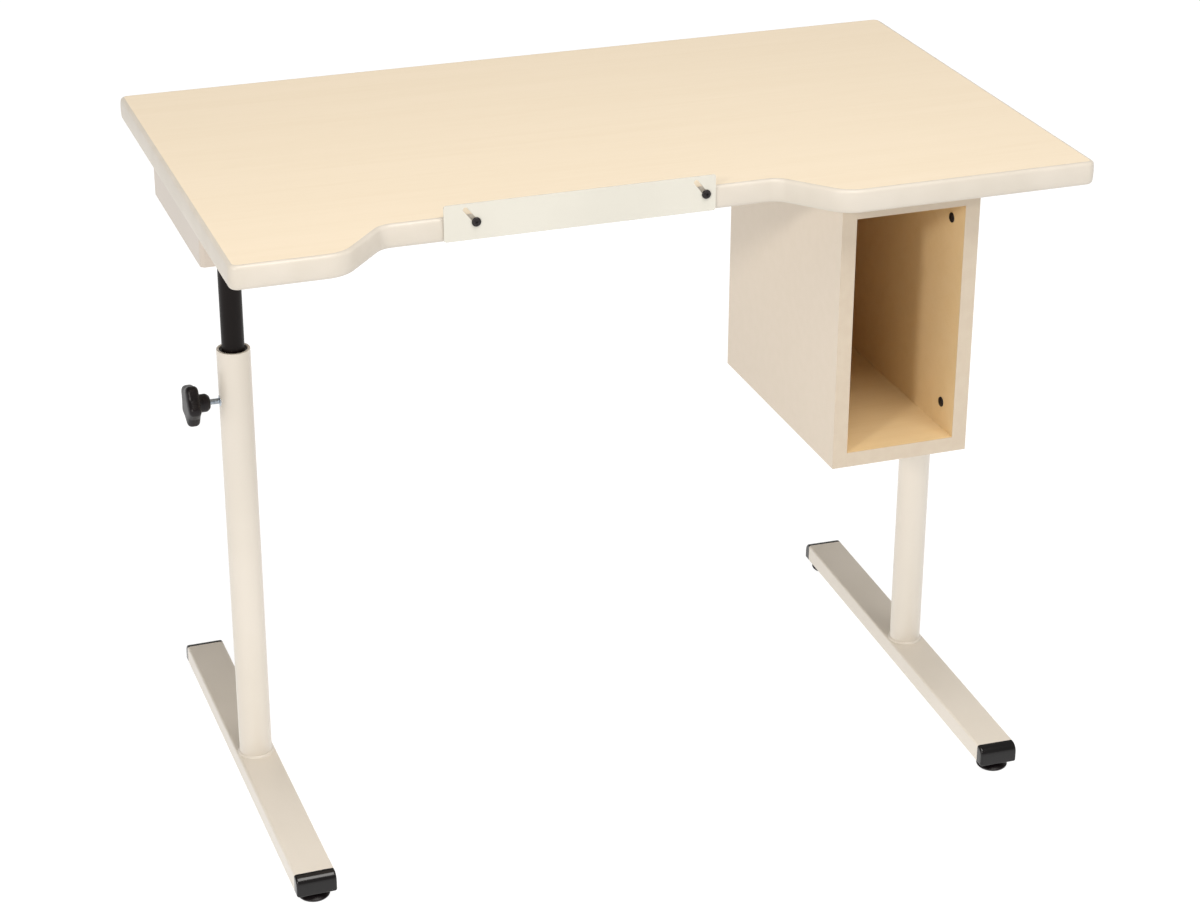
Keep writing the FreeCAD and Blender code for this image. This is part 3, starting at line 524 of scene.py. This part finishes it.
def makeEdging():
    e = edging
    corner = e["cornerRadius"]
    sideX = topHigh.x - corner
    sideY = topHigh.y - corner
    leftMouth = e["recessCentre"] - e["recessMouth"] / 2
    rightMouth = e["recessCentre"] + e["recessMouth"] / 2
    outerY = topLow.y + e["swingOuter"]
    innerY = topLow.y + e["recessDepth"] - e["swingInner"]
    corners = [(Vector((-sideX, -sideY, 0)), corner, 1),
               (Vector((leftMouth, outerY, 0)), e["swingOuter"], 1),
               (Vector((leftMouth + e["swingRun"], innerY, 0)), e["swingInner"], -1),
               (Vector((rightMouth - e["swingRun"], innerY, 0)), e["swingInner"], -1),
               (Vector((rightMouth, outerY, 0)), e["swingOuter"], 1),
               (Vector((sideX, -sideY, 0)), corner, 1),
               (Vector((sideX, sideY, 0)), corner, 1),
               (Vector((-sideX, sideY, 0)), corner, 1)]
    profile = [(e["crown"], underside, e["rounding"]), (0, (underside + surface) / 2, e["crownRun"]),
               (e["crown"], surface, e["rounding"]), (e["thickness"], surface), (e["thickness"], underside)]
    finish(swept(corners, profile), "vinylEdging", "top", "vinyl_edge", edgeVinyl, "edge_band")


makeEdging()
print("edging done")


# screws, all modelled standing on the origin: head below it, thread above it

screwShape = {
    "lip": 0.3, "crossStart": 1.2, "crossFloor": 0.35,       # in heights of the head
    "crossReach": 0.5,                                       # in radii of the head
    "threadDepth": 0.3, "tip": 1.4,                          # in radii of the shank
    "crossWidth": 1 * mm, "crossTaper": (0.55, 0.7, 1), "edge": 0.12 * mm,
}
screwLooks = {
    "ledge": {"head": 5.6 * mm, "height": 2.8 * mm, "shank": 2.5 * mm, "length": 28 * mm, "pitch": 1.8 * mm},
    "bracket": {"head": 4.8 * mm, "height": 2.6 * mm, "shank": 2.25 * mm, "length": 20 * mm,
                "pitch": 1.8 * mm},
    "hanging": {"head": 6 * mm, "height": 3 * mm, "shank": 2.5 * mm, "length": 44.2 * mm, "pitch": 2 * mm},
    "side": {"head": 6.3 * mm, "height": 2.5 * mm, "shank": 2.25 * mm, "length": 14 * mm, "pitch": 1.8 * mm},
}


def makeScrew(look):
    s = screwShape
    head = look["head"]
    height = look["height"]
    shank = look["shank"]
    lip = s["lip"] * height      # upright rim below the dome
    dome = []
    for angle in range(0, 91, 10):
        steep = math.radians(angle)
        dome.append((head * math.sin(steep), -lip - (height - lip) * math.cos(steep)))
    piece = turned(dome + [(head, 0), (0, 0)], closed=False, steps=40)
    reach = head * s["crossReach"]
    half = s["crossWidth"] / 2
    for turn in (0, math.pi / 2):
        # the cross recess takes two crossed cutters, narrower at its floor
        arm = block((-reach, -half, -height * s["crossStart"]), (reach, half, -height * s["crossFloor"]))
        edit(arm)
        pick("faces", lambda face: faces(face, 0, 0, 1))
        bpy.ops.transform.resize(value=s["crossTaper"])
        deselect()
        arm.rotation_euler = (0, 0, turn)
        carve(piece, arm)
    soften(piece, s["edge"], 1, 40)
    thread = threaded(shank, shank * s["threadDepth"], look["pitch"], look["length"], shank * s["tip"])
    return joined(piece, thread)


def makeScrews(name, look, places, turn, slotName, skin, node):
    first = makeScrew(look)
    copies = [copyAt(first, place, turn) for place in places]
    bpy.data.objects.remove(first)
    finish(joined(*copies), name, "top", slotName, skin, node)


def ledgeScrewPlaces(look):
    low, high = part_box("ledge_screws")
    seat = low.y + look["height"]
    level = (low.z + high.z) / 2
    return [(x, seat, level) for x in (low.x + look["head"], high.x - look["head"])]


def sideScrewPlaces(look):
    low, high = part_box("cubby_side_screws")
    seat = low.x + look["height"]
    depth = (low.y + high.y) / 2
    return [(seat, depth, level) for level in (low.z + look["head"], high.z - look["head"])]


def uprightPlaces(node, look, rows):
    # two columns of screws that point up, worked out from the box of their own node
    low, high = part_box(node)
    head = look["head"]
    run = high.y - low.y - 2 * head
    depths = [low.y + head + run * row / (rows - 1) for row in range(rows)]
    return [(x, y, low.z + look["height"]) for x in (low.x + head, high.x - head) for y in depths]


upright = (0, 0, 0)
backwards = (-math.pi / 2, 0, 0)
sideways = (0, math.pi / 2, 0)
ledgeSpots = ledgeScrewPlaces(screwLooks["ledge"])
sideSpots = sideScrewPlaces(screwLooks["side"])
hangingSpots = uprightPlaces("cubby_hanging_screws", screwLooks["hanging"], 2)
makeScrews("ledgeScrews", screwLooks["ledge"], ledgeSpots, backwards, "black_screw", blackSteel,
           "ledge_screws")
makeScrews("cubbySideScrews", screwLooks["side"], sideSpots, sideways, "black_screw", blackSteel,
           "cubby_side_screws")
makeScrews("cubbyHangingScrews", screwLooks["hanging"], hangingSpots, upright, "zinc_steel", zinc,
           "cubby_hanging_screws")
bracketSpots = {}
for side in sides:
    node = side + "_bracket_screws"
    bracketSpots[side] = uprightPlaces(node, screwLooks["bracket"], 3)
    makeScrews(side + "BracketScrews", screwLooks["bracket"], bracketSpots[side], upright, "zinc_steel", zinc,
               node)
print("screws done")


# the pencil ledge: a flat bar with rounded corners and two slanted slots

ledge = {"corner": 3 * mm, "slotRadius": 2.8 * mm, "edge": 0.5 * mm}


def makeLedge():
    low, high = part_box("ledge_plate")
    drop = joints["ledge_drop"]
    climb = Vector(drop["axis"]) * -drop["range_m"][1]       # the slot runs up from the screw at rest
    piece = block(low, high)
    edit(piece)
    pick("edges", lambda edge: not at(edge, "y", low.y) and not at(edge, "y", high.y))
    bpy.ops.mesh.bevel(offset=ledge["corner"], segments=4)
    deselect()
    for spot in ledgeSpots:
        front = (spot[0], low.y - mm, spot[2])
        back = (spot[0], high.y + mm, spot[2])
        slot = rod(ledge["slotRadius"], front, back, 32, "y")
        edit(slot)
        pick("verts", lambda vert: (vert.co - Vector(spot)).dot(climb) > 0)
        bpy.ops.transform.translate(value=climb)
        deselect()
        carve(piece, slot)
    soften(piece, ledge["edge"], 2, 40)
    finish(piece, "pencilLedge", "ledge", "white_enamel", whiteEnamel, "ledge_plate")


makeLedge()
print("ledge done")


# the cubby's melamine boards, with taped front edges and a printed face inside

cubby = {"edge": 0.5 * mm, "tape": 0.6 * mm}
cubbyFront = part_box("cubby_left_side")[0].y


def makeBoard(node, name, inner, lining=mapleMelamine):
    # a merged copy of the board: softened edges, tape on its front edge, and a lining on its inner face
    source = nodes[node]
    piece = source.copy()
    piece.data = source.data.copy()
    piece.parent = None
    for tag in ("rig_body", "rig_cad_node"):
        del piece[tag]
    bpy.context.scene.collection.objects.link(piece)
    edit(piece)
    bpy.ops.mesh.select_all(action="SELECT")
    bpy.ops.mesh.remove_doubles(threshold=tiny)
    bpy.ops.mesh.dissolve_limited(angle_limit=math.radians(1))
    deselect()
    soften(piece, cubby["edge"], 2, 60)
    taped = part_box(node)[0].y < cubbyFront + tiny
    if taped:
        edit(piece)
        bpy.ops.mesh.select_all(action="SELECT")
        bpy.ops.mesh.bisect(plane_co=(0, cubbyFront + cubby["tape"], 0), plane_no=(0, 1, 0))
        deselect()
    finish(piece, name, "top", "almond_melamine", almondMelamine, node)
    piece.data.materials.append(almondTape)
    piece.data.materials.append(lining)
    for face in piece.data.polygons:
        if taped and face.center.y < cubbyFront + cubby["tape"]:
            face.material_index = 1
        elif face.normal.dot(Vector(inner)) > 0.9:
            face.material_index = 2


makeBoard("cubby_left_side", "cubbyLeftBoard", (1, 0, 0))
makeBoard("cubby_right_side", "cubbyRightBoard", (-1, 0, 0))
makeBoard("cubby_bottom", "cubbyFloorBoard", (0, 0, 1))
makeBoard("cubby_top", "cubbyRoofBoard", (0, 0, -1))
# the back board takes the brown lining: painted shade where the cubby is deepest
makeBoard("cubby_back", "cubbyBackBoard", (0, -1, 0), brownMelamine)
print("cubby done")


# folded steel brackets under the top

bracket = {"wall": 2.5 * mm, "corner": 6 * mm, "fold": 3 * mm, "hole": 2.5 * mm, "edge": 0.4 * mm}


def makeBracket(side):
    low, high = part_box(side + "_bracket")
    piece = block(low, high)
    edit(piece)
    pick("faces", lambda face: faces(face, 0, 0, -1))
    bpy.ops.mesh.delete(type="FACE")
    pick("edges", lambda edge: not at(edge, "z", low.z) and not at(edge, "z", high.z))
    bpy.ops.mesh.bevel(offset=bracket["corner"], segments=5)
    pick("edges", lambda edge: at(edge, "z", high.z))
    bpy.ops.mesh.bevel(offset=bracket["fold"], segments=4)
    deselect()
    modify(piece, "SOLIDIFY", thickness=bracket["wall"], offset=-1, use_even_offset=True)
    web = high.z - bracket["wall"]
    for x, y, z in bracketSpots[side]:
        carve(piece, rod(bracket["hole"], (x, y, web - mm), (x, y, high.z + mm), 24))
    soften(piece, bracket["edge"], 2, 50)
    # the brackets take the darkened almond enamel, which paints in their shade
    finish(piece, side + "FoldedBracket", "top", "almond_enamel", paintedShadeEnamel, side + "_bracket")


for side in sides:
    makeBracket(side)
print("brackets done")


# posts, turned about Z at the origin and then set on each side

post = {"wall": 3.5 * mm, "edge": 0.7 * mm, "insertHole": 5.5 * mm, "insertSpot": 7 * mm, "spotDepth": 1 * mm}
inner = {"radius": 14.1 * mm, "wall": 2 * mm, "edge": 0.4 * mm}
bushing = {"clearance": 0.1 * mm, "edge": 0.6 * mm, "split": 1.6 * mm, "splitTurn": 40}
weld = {"leg": 2.4 * mm, "face": [(0.95, 0.25), (0.55, 0.7), (0.2, 1)],      # out and along, in legs
        "sink": 0.3 * mm, "ripple": 0.35 * mm, "bead": 2.6 * mm}


def copyTo(piece, side, turn):
    # moves a piece that was made about the origin to its post and turns it there
    twin = copyAt(piece, sides[side]["post"], (0, 0, turn))
    bpy.data.objects.remove(piece)
    return twin


def tube(bore, radius, low, high, edge, steps):
    wall = [(bore, low, edge), (radius, low, edge), (radius, high, edge), (bore, high, edge)]
    return turned(wall, steps=steps)


def makeOuterPost(side):
    low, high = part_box(side + "_outer_post")
    radius = sides[side]["radius"]
    piece = tube(radius - post["wall"], radius, low.z, high.z, post["edge"], 96)
    level = sides[side]["knobHeight"]
    beyond = (radius * 1.5, 0, level)            # any point outside the post
    hole = rod(post["insertHole"], (0, 0, level), beyond, 32, "x")
    spotFace = rod(post["insertSpot"], (radius - post["spotDepth"], 0, level), beyond, 32, "x")
    carve(piece, hole, spotFace)
    piece = copyTo(piece, side, sides[side]["knobTurn"])
    finish(piece, side + "OuterPost", side + "_leg", "almond_enamel", almondEnamel, side + "_outer_post")


def makeInnerPost(side):
    low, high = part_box(side + "_inner_post")
    radius = inner["radius"]
    bore = radius - inner["wall"]
    piece = turned([(bore, low.z, inner["edge"]), (radius, low.z, inner["edge"]), (radius, high.z),
                    (bore, high.z)], steps=80)
    piece = copyTo(piece, side, 0)
    finish(piece, side + "InnerPost", "top", "black_enamel", blackEnamel, side + "_inner_post")


def makeBushing(side):
    low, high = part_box(side + "_post_bushing")
    radius = (high.x - low.x) / 2
    bore = inner["radius"] + bushing["clearance"]
    piece = tube(bore, radius, low.z, high.z, bushing["edge"], 80)
    half = bushing["split"] / 2
    gap = block((bore - mm, -half, low.z - mm), (radius + mm, half, high.z + mm))
    gap.rotation_euler = (0, 0, math.radians(bushing["splitTurn"]))
    carve(piece, gap)
    piece = copyTo(piece, side, sides[side]["knobTurn"])
    finish(piece, side + "PostBushing", side + "_leg", "black_nylon", blackNylon, side + "_post_bushing")


def makeWeld(name, side, body, radius, level, up):
    # a fillet weld round a tube: a ring with a rippled face, under the same powder coat
    leg = weld["leg"]
    root = level - weld["sink"] * up
    tip = level + leg * up
    inside = radius - leg / 2
    face = [(radius + leg * out, level + leg * along * up) for out, along in weld["face"]]
    piece = turned([(inside, root), (radius + leg, root)] + face + [(inside, tip)], steps=160)
    ripple = bpy.data.textures.new(name, "CLOUDS")
    ripple.noise_scale = weld["bead"]
    modify(piece, "DISPLACE", texture=ripple, strength=weld["ripple"], mid_level=0.5, texture_coords="GLOBAL")
    finish(copyTo(piece, side, 0), name, body, "almond_enamel", almondEnamel)


for side in sides:
    makeOuterPost(side)
    makeInnerPost(side)
    makeBushing(side)
    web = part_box(side + "_bracket")[1].z - bracket["wall"]
    makeWeld(side + "FootWeld", side, side + "_leg", sides[side]["radius"], footHigh.z, 1)
    makeWeld(side + "BracketWeld", side, "top", inner["radius"], web, -1)
print("posts done")


# foot tubes with their end caps and levelling glides

foot = {"width": 50.8 * mm, "length": 605.5 * mm, "wall": 2 * mm, "rounding": 3 * mm, "edge": 0.4 * mm,
        "stemHole": 4.6 * mm}
cap = {"reach": 14 * mm, "rounding": 12 * mm, "side": 3 * mm, "lip": 2 * mm, "plug": 28 * mm, "fit": 0.1 * mm,
       "edge": 0.4 * mm}
glide = {"inset": 6.5 * mm, "radius": 21.2 * mm, "sole": 18 * mm, "rim": 3.5 * mm, "height": 10.5 * mm,
         "hub": 9 * mm, "shoulder": 3 * mm, "slope": 1.5 * mm, "hollow": 1 * mm, "hollowRadius": 12.96 * mm,
         "ringRadius": 14.4 * mm, "ringEdge": 0.5 * mm, "edge": 0.8 * mm, "soleEdge": 1 * mm,
         "rimEdge": 2 * mm, "stem": 4 * mm, "pitch": 1.25 * mm, "threadDepth": 0.6 * mm}


def makeFootTube(side):
    half = foot["length"] / 2
    piece = block((-foot["width"] / 2, -half, footLow.z), (foot["width"] / 2, half, footHigh.z))
    edit(piece)
    pick("edges", lambda edge: not at(edge, "y", half) and not at(edge, "y", -half))
    bpy.ops.mesh.bevel(offset=foot["rounding"], segments=5)
    pick("faces", lambda face: at(face, "y", half) or at(face, "y", -half))
    bpy.ops.mesh.inset(thickness=foot["wall"], use_individual=True)
    bpy.ops.mesh.bridge_edge_loops()
    deselect()
    for end in (-1, 1):
        y = end * (half - glide["inset"])
        carve(piece, rod(foot["stemHole"], (0, y, footLow.z - mm), (0, y, footLow.z + 2 * foot["wall"]), 24))
    soften(piece, foot["edge"], 2, 50)
    piece = copyTo(piece, side, sides[side]["yaw"])
    finish(piece, side + "FootTube", side + "_leg", "almond_enamel", almondEnamel, side + "_foot_tube")


def makeEndCap():
    # modelled at the front end of a foot that lies along Y at the origin
    joint = -foot["length"] / 2
    outer = joint - cap["reach"]
    halfWidth = foot["width"] / 2
    piece = block((-halfWidth, outer, footLow.z), (halfWidth, joint, footHigh.z))
    edit(piece)
    pick("edges", lambda edge: at(edge, "y", outer) and at(edge, "z", footHigh.z))
    bpy.ops.mesh.bevel(offset=cap["rounding"], segments=10)
    pick("edges", lambda edge: at(edge, "y", outer) and at(edge, "z", footLow.z))
    bpy.ops.mesh.bevel(offset=cap["lip"], segments=3)
    pick("edges", lambda edge: (at(edge, "x", halfWidth) or at(edge, "x", -halfWidth))
         and not at(edge, "y", joint))
    bpy.ops.mesh.bevel(offset=cap["side"], segments=5)
    pick("faces", lambda face: at(face, "y", joint))
    bpy.ops.mesh.inset(thickness=foot["wall"] + cap["fit"])
    bpy.ops.mesh.extrude_region_move(TRANSFORM_OT_translate={"value": (0, cap["plug"], 0)})
    deselect()
    soften(piece, cap["edge"], 2, 50)
    return piece


def makeGlidePad():
    # a turned foot with a rounded rim, a flat hub and a shallow ring under its sole
    g = glide
    sole = [(0, g["hollow"]), (g["hollowRadius"], g["hollow"], g["edge"]),
            (g["ringRadius"], 0, g["ringEdge"]), (g["sole"], 0, g["soleEdge"])]
    upper = [(g["radius"], g["rim"], g["rimEdge"]), (g["hub"] + g["shoulder"], g["height"] - g["slope"]),
             (g["hub"], g["height"], g["edge"]), (0, g["height"])]
    return turned(sole + upper, closed=False, steps=72)


def makeFootEnds():
    capShape = makeEndCap()
    padShape = makeGlidePad()
    low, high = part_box("left_front_glide_stem")
    stemShape = threaded(glide["stem"], glide["threadDepth"], glide["pitch"], high.z - low.z, steps=24)
    for side, here in sides.items():
        for end, extra in (("front", 0), ("rear", math.pi)):
            turn = here["yaw"] + extra
            name = side + end.capitalize()
            node = side + "_" + end
            centre = Vector(joints[node + "_glide_turn"]["pos_m"])
            finish(copyAt(capShape, here["post"], (0, 0, turn)), name + "EndCap", side + "_leg",
                   "black_cap_plastic", capPlastic, node + "_end_cap")
            finish(copyAt(padShape, centre, (0, 0, turn)), name + "GlidePad", node + "_glide", "black_nylon",
                   blackNylon, node + "_glide_pad")
            finish(copyAt(stemShape, centre + Vector((0, 0, low.z)), (0, 0, turn)), name + "GlideStem",
                   node + "_glide", "zinc_steel", zinc, node + "_glide_stem")
    for shape in (capShape, padShape, stemShape):
        bpy.data.objects.remove(shape)


for side in sides:
    makeFootTube(side)
makeFootEnds()
print("feet done")


# clamp knobs: a five-lobed nylon head on a zinc stud, and the threaded insert in the post

knob = {"lobes": 5, "lobeRadius": 8.5 * mm, "lobeCircle": 19 * mm, "valleyRadius": 8 * mm,
        "valleyCircle": 30.5 * mm, "hubStart": 33.5 * mm, "hubRadius": 11.5 * mm, "hubLength": 14.5 * mm,
        "nose": 4 * mm, "noseRadius": 8 * mm, "noseEdge": 0.8 * mm, "hubEdge": 1.5 * mm, "flare": 2 * mm,
        "sink": 0.5 * mm, "thickness": 16 * mm, "rounding": 6 * mm, "crown": 0.4 * mm, "crownInset": 1.2 * mm}
insert = {"radius": 5.5 * mm, "flange": 7 * mm, "seat": 20 * mm, "barrel": 5 * mm, "lip": 1.4 * mm,
          "thread": 4.1 * mm, "barrelEdge": 0.4 * mm, "flangeEdge": 0.5 * mm, "mouthEdge": 0.3 * mm}
stud = {"radius": 4 * mm, "pitch": 1.25 * mm, "depth": 0.65 * mm}


def makeKnobHead():
    # modelled along +Z, which becomes the knob's own axis
    k = knob
    corners = []
    for i in range(k["lobes"]):
        lobe = math.pi / 2 + 2 * math.pi * i / k["lobes"]
        valley = lobe + math.pi / k["lobes"]
        lobeCentre = Vector((math.cos(lobe), math.sin(lobe), 0)) * k["lobeCircle"]
        valleyCentre = Vector((math.cos(valley), math.sin(valley), 0)) * k["valleyCircle"]
        corners.append((lobeCentre, k["lobeRadius"], 1))
        corners.append((valleyCentre, k["valleyRadius"], -1))
    back = k["hubStart"] + k["hubLength"]
    front = back + k["thickness"]
    rim = k["rounding"]
    corner = rim * 0.98          # a little less than the rim, which leaves the bevel room
    piece = swept(corners, [(rim, back), (0, back, corner), (0, front, corner), (rim, front)], closed=False,
                  arcStep=12)
    edit(piece)
    pick("edges", lambda edge: edge.is_boundary and at(edge, "z", back))
    bpy.ops.mesh.edge_face_add()
    pick("edges", lambda edge: edge.is_boundary and at(edge, "z", front))
    bpy.ops.mesh.edge_face_add()
    bpy.ops.mesh.inset(thickness=k["crownInset"])
    bpy.ops.transform.translate(value=(0, 0, k["crown"]))
    closeUp()
    start = k["hubStart"]
    radius = k["hubRadius"]
    inside = back + k["sink"]    # the hub ends inside the star
    hub = turned([(0, start), (k["noseRadius"], start, k["noseEdge"]),
                  (radius, start + k["nose"], k["hubEdge"]), (radius, back - k["flare"], k["hubEdge"]),
                  (radius + k["flare"], inside), (0, inside)], closed=False, steps=48)
    return joined(piece, hub)


def makeInsert():
    i = insert
    seat = i["seat"]
    face = seat + i["lip"]
    return turned([(i["thread"], seat - i["barrel"]), (i["radius"], seat - i["barrel"], i["barrelEdge"]),
                   (i["radius"], seat), (i["flange"], seat), (i["flange"], face, i["flangeEdge"]),
                   (i["thread"], face, i["mouthEdge"])], steps=40)


def makeKnobs():
    head = makeKnobHead()
    low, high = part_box("right_knob_stud")
    start = low.x - sides["right"]["post"].x
    studShape = threaded(stud["radius"], stud["depth"], stud["pitch"], high.x - low.x, steps=24)
    insertShape = makeInsert()
    for side, here in sides.items():
        # Z is laid along X, and then turned to point out of the post
        spin = Matrix.Rotation(here["knobTurn"], 3, "Z")
        turn = (spin @ Matrix.Rotation(math.pi / 2, 3, "Y")).to_euler()
        axis = here["post"] + Vector((0, 0, here["knobHeight"]))
        studStart = axis + spin @ Vector((start, 0, 0))
        finish(copyAt(head, axis, turn), side + "KnobHead", side + "_knob", "black_nylon", blackNylon,
               side + "_knob_head")
        finish(copyAt(studShape, studStart, turn), side + "KnobStud", side + "_knob", "zinc_steel", zinc,
               side + "_knob_stud")
        finish(copyAt(insertShape, axis, turn), side + "ClampInsert", side + "_leg", "zinc_steel", zinc,
               side + "_clamp_insert")
    for shape in (head, studShape, insertShape):
        bpy.data.objects.remove(shape)


makeKnobs()
print("knobs done")


# floor, light and camera

studio = {"floor": "#7e7e7e", "floorShade": "#7a7a7a", "glow": 0.93, "floorSize": 60.0, "front": 0.45,
          "back": 0.3, "left": 0.42, "right": 1.1, "whiteUpTo": 0.2, "dimFrom": 0.36, "world": "#fffdfb",
          "aim": (0, 0, 500 * mm)}
lamps = [
    {"name": "key", "from": (-2.8, -2.6, 2.3), "size": 0.4, "power": 50, "colour": "#fffaf3"},
    {"name": "overhead", "from": (0.2, -1.6, 4.2), "size": 2.4, "power": 124, "colour": "#fffcf8"},
]
view = {"target": (0.44 * mm, -29.05 * mm, 400 * mm), "azimuth": 19.56, "elevation": 25.34, "roll": 0.19,
        "distance": 3.7006, "lens": 85.34, "sensor": 36.0}


def makeFloor():
    # a white acrylic light table: it glows evenly, so that what stands on it casts almost no shadow
    deselect()
    bpy.ops.mesh.primitive_plane_add(size=studio["floorSize"])
    floor = bpy.context.object
    floor.name = "studioFloor"
    skin, tree, place = newMaterial("lightTable", {"Roughness": 0.9, "Emission Color": (1, 1, 1, 1),
                                                   "Emission Strength": studio["glow"]})
    cloud = addNode(tree, "ShaderNodeTexNoise", {"Scale": 0.8, "Detail": 2}, {"Vector": place})
    tint = addNode(tree, "ShaderNodeValToRGB",
                   {"stops": [(0.3, studio["floorShade"]), (0.7, studio["floor"])]},
                   {"Fac": cloud.outputs["Fac"]})
    dress(tree, tint)
    floor.data.materials.append(skin)


def makeRoom():
    # brighter in front of the table than behind it, darker on its left, and white at its foot
    world = bpy.data.worlds.new("studioWorld")
    bpy.context.scene.world = world
    world.use_nodes = True
    room = world.node_tree
    background = room.nodes["Background"]
    direction = addNode(room, "ShaderNodeTexCoord").outputs["Generated"]
    parts = addNode(room, "ShaderNodeSeparateXYZ", {}, {"Vector": direction})
    depth = addNode(room, "ShaderNodeMapRange",
                    {"From Min": -1, "From Max": 1, "To Min": studio["front"], "To Max": studio["back"]},
                    {"Value": parts.outputs["Y"]})
    across = addNode(room, "ShaderNodeMapRange",
                     {"From Min": -1, "From Max": 1, "To Min": studio["left"], "To Max": studio["right"]},
                     {"Value": parts.outputs["X"]})
    upper = addNode(room, "ShaderNodeMath", {"operation": "MULTIPLY"},
                    {0: depth.outputs["Result"], 1: across.outputs["Result"]})
    lower = addNode(room, "ShaderNodeMapRange",
                    {"From Min": studio["whiteUpTo"], "From Max": studio["dimFrom"], "To Min": 1,
                     "To Max": 0}, {"Value": parts.outputs["Z"]})
    level = addNode(room, "ShaderNodeMath", {"operation": "MAXIMUM"},
                    {0: upper.outputs["Value"], 1: lower.outputs["Result"]})
    background.inputs["Color"].default_value = toLinear(studio["world"])
    room.links.new(level.outputs["Value"], background.inputs["Strength"])


def makeLamps():
    for lamp in lamps:
        bpy.ops.object.light_add(type="AREA", location=lamp["from"])
        light = bpy.context.object
        light.name = lamp["name"]
        light.data.size = lamp["size"]
        light.data.energy = lamp["power"]
        light.data.color = toLinear(lamp["colour"])[:3]
        aim = Vector(studio["aim"]) - Vector(lamp["from"])
        light.rotation_euler = aim.to_track_quat("-Z", "Y").to_euler()


def makeCamera():
    azimuth = math.radians(view["azimuth"])
    elevation = math.radians(view["elevation"])
    roll = math.radians(view["roll"])
    back = Vector((-math.sin(azimuth) * math.cos(elevation), -math.cos(azimuth) * math.cos(elevation),
                   math.sin(elevation)))
    right = Vector((0, 0, 1)).cross(back).normalized()
    up = back.cross(right)
    rolledRight = right * math.cos(roll) + up * math.sin(roll)
    rolledUp = up * math.cos(roll) - right * math.sin(roll)
    bpy.ops.object.camera_add()
    camera = bpy.context.object
    camera.data.lens = view["lens"]
    camera.data.sensor_width = view["sensor"]
    camera.matrix_world = Matrix.Translation(Vector(view["target"]) + back * view["distance"]) @ Matrix(
        (rolledRight, rolledUp, back)).transposed().to_4x4()
    bpy.context.scene.camera = camera


makeFloor()
makeRoom()
makeLamps()
makeCamera()
bpy.context.scene.view_settings.view_transform = "Standard"
print("studio done")
